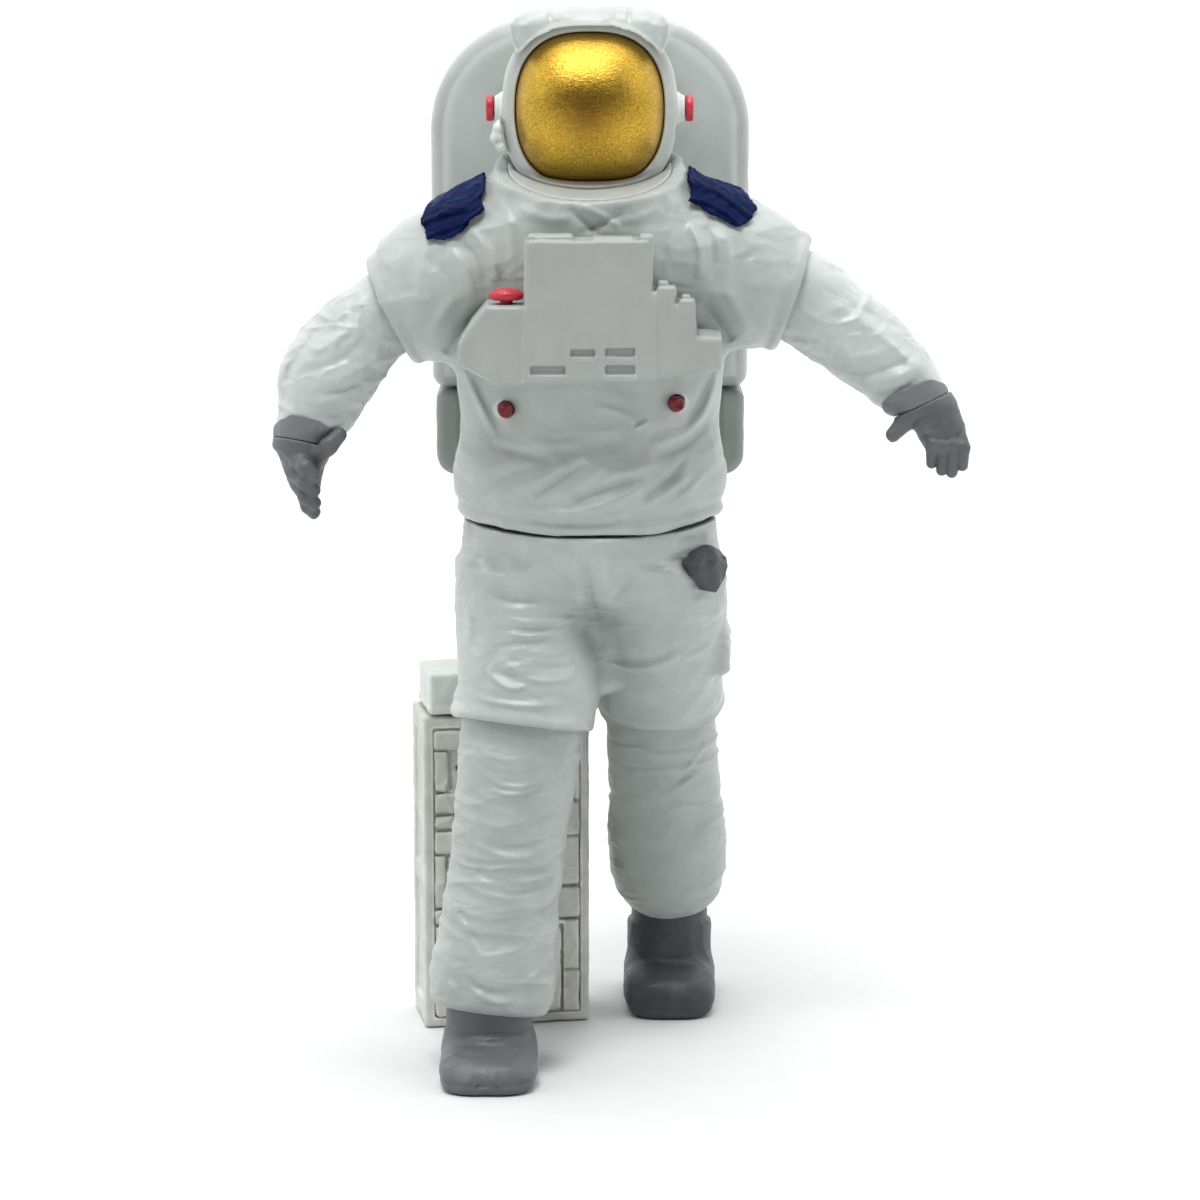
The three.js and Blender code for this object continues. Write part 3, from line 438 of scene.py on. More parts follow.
def sculpt(piece):
    """Mesh arrays for one piece: points, quads, how deep in a recess and how near an edge each point sits."""
    step = piece["step"] * 1.0
    lo = np.asarray(piece["lo"], float) - 3.3 * step
    hi = np.asarray(piece["hi"], float) + 3.3 * step
    field = piece["field"]
    points, quads = surface_net(sample(field, lo, hi, step), lo, step)

    def settle(p):
        value, slope = gradient(field, p, 0.25 * step)
        size = (slope ** 2).sum(axis=1)
        move = -(value / np.maximum(size, 0.2))[:, None] * slope
        longest = 0.6 * step / np.maximum(np.linalg.norm(move, axis=1), 0.6 * step)
        return (p + move * longest[:, None], slope / np.sqrt(np.maximum(size, 1e-9))[:, None])

    points, normals = in_parts(settle, points)

    def recess(p):
        q, n = p[:, :3], p[:, 3:]
        near = 1 - field(q + 0.35 * n) / 0.35
        far = 1 - field(q + 1.1 * n) / 1.1
        return (np.clip(0.5 * near + 0.5 * far, 0, 1), np.clip(1 + field(q - 0.45 * n) / 0.45, 0, 1))

    cavity, edge = in_parts(recess, np.hstack([points, normals]))
    return points, quads, cavity, edge


PIECES = []


def plan(name, field, lo, hi, body, nodes, slot, material, step=0.22):
    """Queues a piece: its field, the box that holds it, the body it rides on and the CAD nodes it stands for."""
    PIECES.append({"name": name, "field": field, "lo": lo, "hi": hi, "body": body, "nodes": nodes, "slot": slot,
                   "material": material, "step": step})


def place(piece, arrays):
    points, quads, cavity, edge = arrays
    mesh = bpy.data.meshes.new(piece["name"])
    mesh.vertices.add(len(points))
    mesh.vertices.foreach_set("co", ((points + ROW_SHIFT) / 1000).astype(np.float32).ravel())
    mesh.loops.add(quads.size)
    mesh.loops.foreach_set("vertex_index", quads.ravel().astype(np.int32))
    mesh.polygons.add(len(quads))
    mesh.polygons.foreach_set("loop_start", np.arange(0, quads.size, 4, dtype=np.int32))
    mesh.update(calc_edges=True)
    mesh.validate()
    mesh.polygons.foreach_set("use_smooth", np.ones(len(mesh.polygons), bool))
    for label, values in (("cavity", cavity), ("edge", edge)):
        mesh.attributes.new(label, "FLOAT", "POINT").data.foreach_set("value", values.astype(np.float32))
    mesh.materials.append(piece["material"])
    obj = bpy.data.objects.new(piece["name"], mesh)
    bpy.context.scene.collection.objects.link(obj)
    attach(obj, piece["body"])
    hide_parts(*piece["nodes"])


# ------------------------------------------------------------------ materials


class Nodes:
    """Short helpers to wire one material."""

    def __init__(self, name):
        self.material = bpy.data.materials.new(name)
        self.material.use_nodes = True
        self.tree = self.material.node_tree
        self.shader = self.tree.nodes["Principled BSDF"]
        self.place = self.tree.nodes.new("ShaderNodeTexCoord").outputs["Object"]

    def link(self, a, b):
        self.tree.links.new(a, b)

    def noise(self, scale, detail=4.0, rough=0.55, stretch=None):
        node = self.tree.nodes.new("ShaderNodeTexNoise")
        node.inputs["Scale"].default_value = scale
        node.inputs["Detail"].default_value = detail
        node.inputs["Roughness"].default_value = rough
        source = self.place
        if stretch:
            mapping = self.tree.nodes.new("ShaderNodeMapping")
            mapping.inputs["Scale"].default_value = stretch
            self.link(self.place, mapping.inputs["Vector"])
            source = mapping.outputs["Vector"]
        self.link(source, node.inputs["Vector"])
        return node.outputs["Fac"]

    def attribute(self, name):
        node = self.tree.nodes.new("ShaderNodeAttribute")
        node.attribute_name = name
        return node.outputs["Fac"]

    def ramp(self, source, stops):
        node = self.tree.nodes.new("ShaderNodeValToRGB")
        while len(node.color_ramp.elements) < len(stops):
            node.color_ramp.elements.new(0.5)
        for element, (place, value) in zip(node.color_ramp.elements, stops):
            element.position = place
            element.color = (*value, 1) if hasattr(value, "__len__") else (value, value, value, 1)
        self.link(source, node.inputs["Fac"])
        return node.outputs["Color"]

    def math(self, operation, a, b):
        node = self.tree.nodes.new("ShaderNodeMath")
        node.operation = operation
        for socket, value in zip(node.inputs, (a, b)):
            if isinstance(value, (int, float)):
                socket.default_value = value
            else:
                self.link(value, socket)
        return node.outputs["Value"]

    def mix(self, factor, a, b):
        node = self.tree.nodes.new("ShaderNodeMix")
        node.data_type = "RGBA"
        for socket, value in zip((node.inputs[0], node.inputs[6], node.inputs[7]), (factor, a, b)):
            if isinstance(value, tuple):
                socket.default_value = (*value, 1)
            elif isinstance(value, (int, float)):
                socket.default_value = value
            else:
                self.link(value, socket)
        return node.outputs[2]

    def bump(self, height, strength, distance, below=None):
        node = self.tree.nodes.new("ShaderNodeBump")
        node.inputs["Strength"].default_value = strength
        node.inputs["Distance"].default_value = distance
        self.link(height, node.inputs["Height"])
        if below is not None:
            self.link(below, node.inputs["Normal"])
        return node.outputs["Normal"]

    def finish(self, color, roughness, normal, **fixed):
        self.link(color, self.shader.inputs["Base Color"])
        self.link(roughness, self.shader.inputs["Roughness"])
        self.link(normal, self.shader.inputs["Normal"])
        for name, value in fixed.items():
            self.shader.inputs[name.replace("_", " ")].default_value = value
        return self.material


def painted(name, color, shade, recess_shade=0.5, edge_wear_and_highlight=0.25, rough=(0.36, 0.52), grain=0.5, **fixed):
    """Satin brushed paint: blotches, painted shade darkening the recesses, and lighter edges that are part paint wear,
    part painted highlight.
    """
    n = Nodes(name)
    blotches = n.ramp(n.noise(260, 3), [(0.35, 0.0), (0.65, 1.0)])
    tint = n.mix(blotches, color, shade)
    strokes = n.ramp(n.noise(900, 5, 0.6, (1, 1, 0.35)), [(0.4, 0.0), (0.62, 1.0)])
    tint = n.mix(n.math("MULTIPLY", strokes, 0.35), tint, shade)
    # lighter convex edges: part paint wear, part painted highlight on the ridges
    worn_and_highlit_edge = n.math("MULTIPLY", n.ramp(n.attribute("edge"), [(0.35, 0.0), (0.85, 1.0)]), edge_wear_and_highlight)
    tint = n.mix(worn_and_highlit_edge, tint, tuple(min(1.0, c * 1.4 + 0.003) for c in color))
    # painted shade: darker deep in recesses, where less light reaches
    deep = n.math("MULTIPLY", n.ramp(n.attribute("cavity"), [(0.12, 0.0), (0.75, 1.0)]), recess_shade)
    tint = n.mix(deep, tint, tuple(c * 0.35 for c in shade))
    roughness = n.ramp(n.noise(1400, 4), [(0.3, rough[0]), (0.7, rough[1])])
    fine = n.bump(n.noise(5200, 3, 0.6), grain, 0.00003)
    broad = n.bump(n.noise(900, 4, 0.55), 0.35, 0.00012, fine)
    return n.finish(tint, roughness, broad, **fixed)


def gold_paint():
    n = Nodes("gold_paint")
    flakes = n.noise(5200, 3, 0.7)
    streaks = n.noise(2600, 5, 0.65, (0.5, 0.5, 1.6))
    tint = n.mix(n.ramp(flakes, [(0.36, 0.0), (0.64, 1.0)]), (0.37, 0.21, 0.02), (0.71, 0.465, 0.065))
    tint = n.mix(n.math("MULTIPLY", n.ramp(streaks, [(0.4, 0.0), (0.7, 1.0)]), 0.35), tint, (0.36, 0.18, 0.02))
    # a painted reflection: a dark spot in the middle of the front, where the visor mirrors the dark side in front of
    # it
    reach = n.tree.nodes.new("ShaderNodeVectorMath")
    reach.operation = "DISTANCE"
    reach.inputs[1].default_value = tuple((HELMET + ROW_SHIFT + (-0.2, -7.4, -0.3)) / 1000)
    n.link(n.place, reach.inputs[0])
    painted_reflection_spot = n.ramp(n.math("MULTIPLY", reach.outputs["Value"], 100), [(0.08, 1.0), (0.38, 0.0)])
    tint = n.mix(n.math("MULTIPLY", painted_reflection_spot, 0.75), tint, (0.16, 0.075, 0.012))
    # painted shade: darker deep in recesses
    deep = n.ramp(n.attribute("cavity"), [(0.3, 0.0), (0.8, 1.0)])
    tint = n.mix(n.math("MULTIPLY", deep, 0.6), tint, (0.16, 0.07, 0.01))
    roughness = n.ramp(streaks, [(0.3, 0.26), (0.7, 0.38)])
    fine = n.bump(flakes, 0.7, 0.00006)
    return n.finish(tint, roughness, n.bump(streaks, 0.35, 0.0001, fine), Metallic=0.92)


SUIT = painted("suit_paint", (0.475, 0.503, 0.489), (0.415, 0.443, 0.428), recess_shade=0.7, edge_wear_and_highlight=0.6, rough=(0.30, 0.44))
# a lighter copy of the suit paint for the sleeves and helmet: painted light from above
SUIT_PAINTED_LIT = painted("suit_paint_painted_lit", (0.55, 0.583, 0.567), (0.48, 0.512, 0.495), recess_shade=0.7, edge_wear_and_highlight=0.6,
                     rough=(0.30, 0.44))
# a darker copy of the suit paint for the lower legs: partly their own greyer tone, partly painted shade low on the
# figure
LEG_TONE_AND_SHADE = painted("leg_tone_and_shade_paint", (0.415, 0.442, 0.429), (0.355, 0.382, 0.368), recess_shade=0.6, edge_wear_and_highlight=0.5, rough=(0.32, 0.46))
SHELL = painted("shell_paint", (0.385, 0.405, 0.393), (0.350, 0.370, 0.358), recess_shade=0.55, edge_wear_and_highlight=0.5,
                rough=(0.32, 0.44))
# a darker copy of the suit paint for the lower pack: painted shade under the backpack's ledge and the arms
SHADED_LOWER_PACK = painted("shaded_lower_pack_paint", (0.33, 0.362, 0.343), (0.28, 0.31, 0.295), recess_shade=0.6, edge_wear_and_highlight=0.9)
# a lighter copy of the suit paint for the case's lid: painted light
LID_PAINTED_LIT = painted("lid_paint_painted_lit", (0.66, 0.70, 0.67), (0.58, 0.62, 0.59), recess_shade=0.5)
CASE = painted("case_paint", (0.68, 0.68, 0.64), (0.52, 0.52, 0.48), recess_shade=0.45, edge_wear_and_highlight=0.8, rough=(0.45, 0.6))
GLOVE = painted("glove_paint", (0.125, 0.130, 0.140), (0.092, 0.096, 0.105), recess_shade=0.7, edge_wear_and_highlight=0.8, rough=(0.40, 0.55))
# a darker copy of the glove paint: the hip pad's own dark grey, and painted shade on the rear boot
DARK_GREY_AND_BOOT_SHADE = painted("dark_grey_and_boot_shade_paint", (0.062, 0.066, 0.076), (0.042, 0.045, 0.053), recess_shade=0.7, edge_wear_and_highlight=1.0,
                    rough=(0.40, 0.55))
NAVY = painted("navy_paint", (0.0025, 0.009, 0.052), (0.0015, 0.005, 0.030), recess_shade=0.7, edge_wear_and_highlight=0.8, rough=(0.40, 0.55),
               Specular_IOR_Level=0.03)
RED = painted("red_paint", (0.62, 0.035, 0.05), (0.48, 0.02, 0.035), recess_shade=0.6, edge_wear_and_highlight=0.3, rough=(0.30, 0.42))
DARK_RED = painted("dark_red_paint", (0.22, 0.006, 0.016), (0.12, 0.004, 0.010), recess_shade=0.7, edge_wear_and_highlight=0.6,
                   rough=(0.3, 0.42))
PEG = painted("peg_plastic", (0.30, 0.31, 0.33), (0.25, 0.26, 0.28), recess_shade=0.3, edge_wear_and_highlight=0.2, rough=(0.4, 0.55))
BUBBLE = painted("dark_bubble", (0.015, 0.016, 0.02), (0.01, 0.011, 0.014), recess_shade=0.2, edge_wear_and_highlight=0.1, rough=(0.12, 0.2))
STEEL = painted("screw_steel", (0.55, 0.56, 0.58), (0.45, 0.46, 0.48), recess_shade=0.4, edge_wear_and_highlight=0.2, rough=(0.25, 0.4),
                Metallic=0.9)
GOLD = gold_paint()

# ------------------------------------------------------------------ jacket

# Trunk stations: height, half width, half depth and the middle's Y.
TRUNK = Limb([((0, y, z), across, depth) for z, across, depth, y in (
    (HEM_Z - 2, 12.3, 8.9, -0.8), (HEM_Z, 12.4, 9.1, -0.8), (56.2, 13.1, 9.5, -0.8), (59.6, 13.5, 9.7, -0.9),
    (62.0, 13.0, 9.3, -0.8), (64.0, 12.75, 9.1, -0.8), (68, 13.1, 9.2, -0.8), (74, 13.2, 9.1, -0.8),
    (79, 12.2, 8.9, -0.9), (83.0, 10.6, 8.6, -1.2), (86.4, 9.5, 8.5, -1.6), (90, 9.2, 8.9, -1.9))])
CAP = {
    "right": Limb([((-3.5, -1.2, 82.2), 6.4, 6.8), ((-8, -1.2, 80.6), 7.2, 7.1), ((-12.8, -1.2, 78.2), 7.3, 7.3),
                   ((-16.6, -1.25, 76.3), 6.9, 6.9), (ARM["right"].at, 5.45, 5.45), (ARM["right"].out(1), 5.2, 5.2)],
                  end_along=ARM["right"].along),
    "left": Limb([((3.5, -1.2, 82.2), 6.4, 6.8), ((8, -1.2, 80.9), 7.2, 7.1), ((12.8, -1.2, 79.2), 7.3, 7.3),
                  ((16.6, -1.25, 77.75), 6.9, 6.9), (ARM["left"].at, 5.65, 5.65), (ARM["left"].out(1), 5.4, 5.4)],
                 end_along=ARM["left"].along),
}

JACKET_FRONT_FOLDS = Folds([
    # the bright ridge low on the belly, and the bands that climb to the right above it
    ((-6.4, 56.6), (-0.8, 56.2), (5.4, 58.9), 0.55, 0.42),
    ((-5.4, 57.7), (-2.7, 59.5), (-0.2, 61.2), 0.45, -0.30),
    ((-7.0, 57.8), (-4.2, 59.8), (-2.2, 61.2), 0.45, 0.22),
    ((-2.6, 57.6), (-0.3, 59.4), (1.5, 60.9), 0.50, 0.26),
    ((-1.6, 57.4), (1.2, 58.3), (5.4, 59.7), 0.45, -0.30),
    ((1.0, 59.6), (3.6, 60.2), (7.0, 61.2), 0.60, 0.16),
    ((5.0, 57.6), (7.5, 59.2), (9.2, 61.2), 0.42, -0.26),
    ((5.2, 56.8), (7.8, 58.2), (9.8, 59.8), 0.42, 0.24),
    ((7.6, 56.7), (9.8, 58.2), (11.4, 59.8), 0.40, 0.16),
    ((-9.6, 56.6), (-7.0, 58.6), (-3.8, 59.9), 0.40, 0.18),
    ((-10.4, 57.6), (-8.4, 59.4), (-5.4, 60.6), 0.40, -0.18),
    ((-11.6, 58.4), (-10.0, 60.0), (-7.4, 61.2), 0.45, 0.18),
    ((-9.8, 62.3), (-7.0, 61.9), (-3.4, 61.2), 0.45, -0.20),
    ((-6.2, 63.2), (-3.4, 62.8), (-0.6, 63.2), 0.50, 0.10),
    ((6.0, 61.6), (9.4, 62.6), (11.8, 64.8), 0.50, -0.30),
    ((5.8, 62.7), (8.8, 63.6), (11.2, 65.6), 0.50, 0.16),
    # slanting pulls from the sides down to the waist, and a nick by the left connector
    ((-12.2, 69.4), (-10.9, 66.6), (-9.2, 63.4), 0.40, 0.24),
    ((-11.4, 69.0), (-10.0, 66.2), (-8.4, 63.2), 0.40, -0.16),
    ((12.4, 69.4), (11.5, 66.0), (9.0, 62.6), 0.40, 0.24),
    ((11.4, 68.8), (10.4, 66.0), (8.2, 63.2), 0.40, -0.14),
    ((4.4, 64.3), (5.0, 64.6), (5.7, 64.9), 0.22, 0.22),
    ((0.2, 66.5), (2.6, 66.0), (4.6, 65.0), 0.40, 0.10),
    # from the neck down to the module
    ((-2.0, 85.6), (-0.4, 84.2), (1.0, 83.0), 0.35, -0.34),
    ((3.2, 85.4), (1.4, 84.2), (-1.0, 83.2), 0.35, -0.30),
    ((-1.0, 85.8), (1.2, 84.9), (3.0, 83.6), 0.35, 0.22),
    ((-6.8, 85.6), (-4.0, 84.6), (-1.6, 84.8), 0.45, 0.20),
    ((6.8, 85.6), (4.6, 84.6), (3.0, 84.4), 0.45, 0.18),
    ((-8.6, 86.2), (-7.6, 83.4), (-7.6, 80.0), 0.50, 0.18),
    ((8.6, 86.6), (7.8, 84.0), (7.8, 80.4), 0.50, 0.18),
    # from the shoulders to the module's sides
    ((-11.6, 83.4), (-9.6, 81.2), (-8.9, 78.6), 0.40, 0.34),
    ((-12.8, 82.6), (-10.8, 80.4), (-9.9, 78.0), 0.35, -0.26),
    ((-13.6, 81.6), (-12.0, 79.8), (-11.2, 77.4), 0.40, 0.22),
    ((-16.2, 80.6), (-14.0, 79.4), (-12.6, 77.6), 0.50, -0.12),
    ((9.6, 84.0), (10.6, 81.6), (10.4, 78.8), 0.40, 0.32),
    ((11.0, 83.6), (12.0, 81.2), (11.6, 78.6), 0.35, -0.24),
    ((12.6, 83.2), (13.4, 81.2), (12.8, 78.8), 0.40, 0.18),
    ((16.4, 81.6), (14.8, 80.4), (13.6, 78.4), 0.50, -0.12),
    # armpits
    ((-9.8, 76.6), (-12.0, 73.8), (-14.2, 71.2), 0.75, -0.50),
    ((10.8, 76.4), (12.2, 74.4), (14.0, 72.4), 0.70, -0.50),
    ((-12.6, 77.4), (-14.6, 74.6), (-16.2, 71.6), 0.60, 0.18),
    ((12.8, 78.0), (14.4, 75.4), (15.6, 73.2), 0.60, 0.16),
    ((-14.8, 77.4), (-17.2, 76.4), (-19.6, 76.6), 0.60, 0.12),
    ((14.6, 78.8), (17.2, 77.8), (19.6, 78.4), 0.60, 0.12),
], front=-2.5, strength=1.45)

JACKET_SIDE_FOLDS = Folds([
    ((-13.0, -2.4, 62.0), (-12.2, -5.6, 61.3), (-10.2, -8.0, 61.6), 0.60, 0.30),
    ((-12.8, -2.4, 63.6), (-12.0, -5.4, 63.2), (-10.2, -7.6, 63.2), 0.50, -0.34),
    ((13.0, -2.4, 62.6), (12.2, -5.6, 61.9), (10.2, -8.0, 62.2), 0.60, 0.28),
    ((12.8, -2.4, 64.4), (12.0, -5.4, 64.0), (10.2, -7.6, 64.0), 0.50, -0.34),
    ((-13.4, 0.8, 60.6), (-13.2, -3.0, 59.4), (-12.0, -6.0, 58.6), 0.50, -0.22),
    ((13.4, 0.8, 61.0), (13.2, -3.0, 59.8), (12.0, -6.0, 59.2), 0.50, -0.22),
    ((-14.4, -4.6, 82.9), (-17.2, -4.4, 80.9), (-19.6, -3.8, 79.0), 0.45, -0.14),
    ((14.8, -4.6, 83.7), (17.6, -4.4, 82.4), (20.2, -3.8, 81.2), 0.45, -0.14),
    ((-15.2, -7.4, 76.6), (-16.6, -6.6, 73.8), (-15.8, -4.2, 70.6), 0.60, 0.16),
    ((15.4, -7.4, 78.0), (16.8, -6.6, 75.2), (16.0, -4.2, 72.2), 0.60, 0.16),
    # the back
    ((-9.5, 6.2, 61.4), (0, 8.6, 60.2), (9.5, 6.2, 61.4), 0.80, -0.22),
    ((-10.5, 5.2, 57.8), (-2, 8.4, 56.6), (7.5, 7.2, 58.2), 0.80, 0.20),
    ((-13.8, 5.0, 72.8), (-12.2, 6.4, 76.0), (-11.0, 6.9, 79.0), 0.80, -0.26),
    ((13.8, 5.0, 73.8), (12.4, 6.4, 77.0), (11.2, 6.9, 80.0), 0.80, -0.26),
])


def hem_height(x):
    """The jacket's hem rises a little at the sides."""
    return HEM_Z + 0.9 * np.minimum(1, (x / 12.4) ** 2)


def arm_cap(p, side):
    """A shoulder cap, with a thin rolled edge at its seam."""
    wall = CAP[side].wall(p)[0]
    sign = -1 if side == "right" else 1
    out = (p - ARM[side].at) @ ARM[side].along
    wall = wall - 0.16 * bell(out + 0.45, 0.4) + 0.10 * bell(out + 1.4, 0.5)
    return smax(smax(wall, out, 0.35), -sign * p[:, 0] - 1.0, 0.5)


def jacket(p):
    """The jacket's outer skin, without its hollows."""
    z = p[:, 2]
    above_hem = z - hem_height(p[:, 0])
    trunk = TRUNK.wall(p)[0] - 0.20 * bell(above_hem - 0.55, 0.45) + 0.16 * bell(above_hem - 1.45, 0.40)
    d = smin(trunk, np.minimum(arm_cap(p, "right"), arm_cap(p, "left")), 2.2)
    d = smax(d, -above_hem, 0.35)
    relief = 0.20 * crumple(p, 3, 4.4, (1.5, 1.5, 0.8)) + 0.07 * crumple(p, 11, 1.7, (1.5, 1.5, 0.8))
    calm = 0.3 + 0.7 * ramp(np.abs(z - 67), 6, 13)
    return d - JACKET_FRONT_FOLDS(p) - JACKET_SIDE_FOLDS(p) - relief * calm


def collar_plane(p):
    """Height over the neck ring's middle plane, which is lower in front."""
    q = p - COLLAR_AT
    return q[:, 2] * math.cos(COLLAR_TILT) - q[:, 1] * math.sin(COLLAR_TILT)


HELMET_HALF, HELMET_TALL = 8.4, 8.7


def helmet_form(p, across=HELMET_HALF, tall=HELMET_TALL):
    """The helmet's outer form: a superellipse turned about the visor's pivot line."""
    q = p - HELMET
    radius = np.hypot(q[:, 1], q[:, 2])
    a, b = np.abs(q[:, 0]) / across + 1e-9, radius / tall + 1e-9
    k = (a ** SQUARED + b ** SQUARED) ** (1 / SQUARED)
    slope = np.hypot((a / k) ** (SQUARED - 1) / across, (b / k) ** (SQUARED - 1) / tall)
    return (k - 1) / np.maximum(slope, 1e-6)


def reach_outline():
    """How far the turning helmet reaches from its upright line at each height: (reach, height) points."""
    x = np.linspace(0, HELMET_HALF, 60)
    radius = HELMET_TALL * (1 - (x / HELMET_HALF) ** SQUARED) ** (1 / SQUARED)
    outline = [(0, -HELMET_TALL)]
    for height in np.linspace(-0.99, 0.6, 24) * HELMET_TALL:
        reach = x ** 2 + radius ** 2 - height ** 2
        outline.append((math.sqrt(reach[radius >= abs(height)].max()), height))
    return outline + [(0, outline[-1][1])]


HELMET_REACH = reach_outline()


def helmet_room(p):
    """Distance to the space that the turning helmet sweeps."""
    q = p - HELMET
    return polygon(np.hypot(q[:, 0], q[:, 1]), q[:, 2], HELMET_REACH)


BELLY = {"right": Seam((-8.1, -9.3, 66.0), BACK), "left": Seam((8.4, -9.3, 66.6), BACK)}
WAIST = Seam((0, TORSO_Y, 0), UP)
NECK = Seam((0, HELMET[1], 0), UP)
BACK_PEGS = {1: Seam((0, 0, 70), BACK), 2: Seam((0, 0, 78), BACK)}
SCREW = Seam((0, 0, 62), BACK)


def neck_ring(p):
    q = p - COLLAR_AT
    height = collar_plane(p)
    radius = np.sqrt(np.maximum((q ** 2).sum(axis=1) - height ** 2, 0))
    d = polygon(radius, height, [(5.6, -1.1), (7.9, -1.1), (7.9, 0.2), (5.6, 0.2)]) - 0.1
    return smax(d, 0.2 - helmet_room(p), 0.15)


def torso_shell(p, front_half):
    y, z = p[:, 1], p[:, 2]
    outer = jacket(p)
    inner = np.maximum(outer + WALL, np.maximum(WAIST_FLOOR + WALL - z, z - 82.5))
    inner = np.maximum(inner, np.abs(p[:, 0]) - 17)
    skirt = np.maximum(np.hypot(p[:, 0], (y - TORSO_Y) * 11.9 / 8.5) - 11.9, z - WAIST_FLOOR)
    d = smax(np.maximum(outer, -inner), -skirt, 0.15)
    holes = [peg_hole(p, WAIST, "waist", HEM_Z, WAIST_FLOOR + WALL + 1), peg_hole(p, NECK, "neck", 80, 92),
             rod(p, SCREW, 1.1, 0, 12)]
    holes += [peg_hole(p, peg, "back", 2, 12) for peg in BACK_PEGS.values()]
    for side, arm in ARM.items():
        d = smax(d, -rod(p, arm, ARM_RIM[side] - 0.7, -SOCKET_DEPTH, 3), 0.2)
        holes += [peg_hole(p, arm, "shoulder", -6, 1), rod(p, arm, 2.8, -6.2, -SOCKET_DEPTH - WALL)]
        if front_half:
            holes.append(rod(p, BELLY[side], 0.8, -2, 8))
    for hole in holes:
        d = np.maximum(d, -hole)
    d = smax(d, 0.45 - helmet_room(p), 0.3)
    d = smax(d, collar_plane(p) - 0.25, 0.4)
    d = np.maximum(d, 0.03 - neck_ring(p))
    return smax(d, y - SPLIT_Y + 0.04 if front_half else SPLIT_Y + 0.04 - y, 0.1)


plan("jacket_front", lambda p: torso_shell(p, True), (-23.5, -12, 53.4), (23.5, 0.6, 90), "torso",
     ["torso_front_shell"], "suit_white", SUIT, 0.20)
plan("jacket_back", lambda p: torso_shell(p, False), (-23.5, 0.2, 53.4), (23.5, 9.5, 91), "torso",
     ["torso_back_shell"], "suit_white", SUIT, 0.24)
plan("collar_ring", neck_ring, (-9.3, -11.5, 84), (9.3, 7.7, 93.5), "torso", ["neck_ring"], "suit_white", SUIT, 0.14)
plan("torso_screw_pin", lambda p: rod(p, SCREW, 0.8, 2.4, 7.6, 0.15) + 0.3 * bell(p[:, 0], 0.16) * (p[:, 1] > 7.1),
     (-1, 2.2, 61), (1, 7.8, 63), "torso", ["torso_screw"], "screw_steel", STEEL, 0.08)

# ------------------------------------------------------------------ chest module

MODULE_FRONT, MODULE_BACK = -15.4, -6.6
KNOB = Seam((-7.9, -13.2, 77.1), UP)
MODULE_OUTLINE = [(-6.3, 83.4), (-6.3, 76.8), (-9.9, 76.8), (-11.4, 75.0), (-12.6, 73.1), (-12.7, 71.0), (-8.6, 68.9),
                  (-2.8, 69.2), (5.8, 69.5), (12.6, 70.5), (12.7, 73.7), (10.3, 73.9), (10.1, 76.9), (8.3, 77.0),
                  (8.3, 78.2), (6.1, 78.2), (6.1, 83.4)]
# Blocks on the module: lowest and highest corner, rounding, and how widely each blends in.
MODULE_BLOCKS = [
    # top edge: a raised bar at each end of the block, and a lower strip with a notch between them
    ((-5.9, -15.0, 81.6), (-1.5, -12.0, 83.4), 0.35, 0.25),
    ((0.2, -14.9, 81.6), (4.2, -12.0, 83.15), 0.3, 0.25),
    ((4.7, -15.15, 81.2), (6.1, -12.0, 83.4), 0.35, 0.25),
    # valves on the left-hand steps
    ((6.3, -15.0, 77.4), (8.2, -12.2, 78.5), 0.3, 0.2),
    ((6.4, -14.6, 78.0), (7.5, -12.8, 79.0), 0.3, 0.15),
    ((8.4, -15.0, 76.2), (10.0, -12.4, 77.3), 0.3, 0.2),
    ((8.7, -14.5, 76.9), (9.6, -13.0, 77.7), 0.25, 0.15),
]
MODULE_SLOTS = [((-1.8, 71.9), (0.5, 72.6)), ((1.5, 71.9), (4.3, 72.7)), ((-5.6, 70.2), (-2.3, 71.0)),
                ((1.5, 70.2), (4.3, 71.1))]


def chest_module(p):
    x, y, z = p.T
    outline = polygon(x, z, MODULE_OUTLINE)
    # the lower outer parts stand back a little from the middle block's face
    step_back = 0.25 * ramp(np.abs(x) - 6.2, 0, 0.35)
    round_face = 0.5 * ramp(-x - 8.5, 0, 4.5) + 0.35 * ramp(x - 9.5, 0, 3.5)
    face = MODULE_FRONT + step_back + round_face - y
    d = smax(outline + 0.08, np.maximum(face, y - MODULE_BACK), 0.75)
    d = np.where((z > 80) & (np.abs(x) < 6.2), smax(d, z - 82.9, 0.3), d)
    for lo, hi, radius, blend in MODULE_BLOCKS:
        d = smin(d, rounded_box(p, lo, hi, radius), blend)
    for (x0, z0), (x1, z1) in MODULE_SLOTS:
        slot = rounded_box(p, (x0, MODULE_FRONT - 1, z0), (x1, MODULE_FRONT + 0.32, z1), 0.12)
        lip = rounded_box(p, (x0 - 0.15, MODULE_FRONT - 0.06, z0 - 0.35),
                          (x1 + 0.15, MODULE_FRONT + 0.5, z0 + 0.1), 0.05)
        d = smax(smin(d, lip, 0.1), -slot, 0.15)
    # a bead along the lower edge, and the edge of the cover on the right-hand step
    d = d - 0.10 * bell(outline + 0.45, 0.22) * ramp(73.5 - z, 0, 1.5)
    d = d + 0.12 * bell(x + 6.35, 0.14) * ramp(76.6 - z, 0, 0.6) * ramp(z - 73.2, 0, 1.5)
    d = d - 0.035 * crumple(p, 21, 3.2)
    knob_hole = rod(p, KNOB, 0.9, -2.2, 1)
    return smax(np.maximum(d, -knob_hole), 0.3 - jacket(p), 0.2)


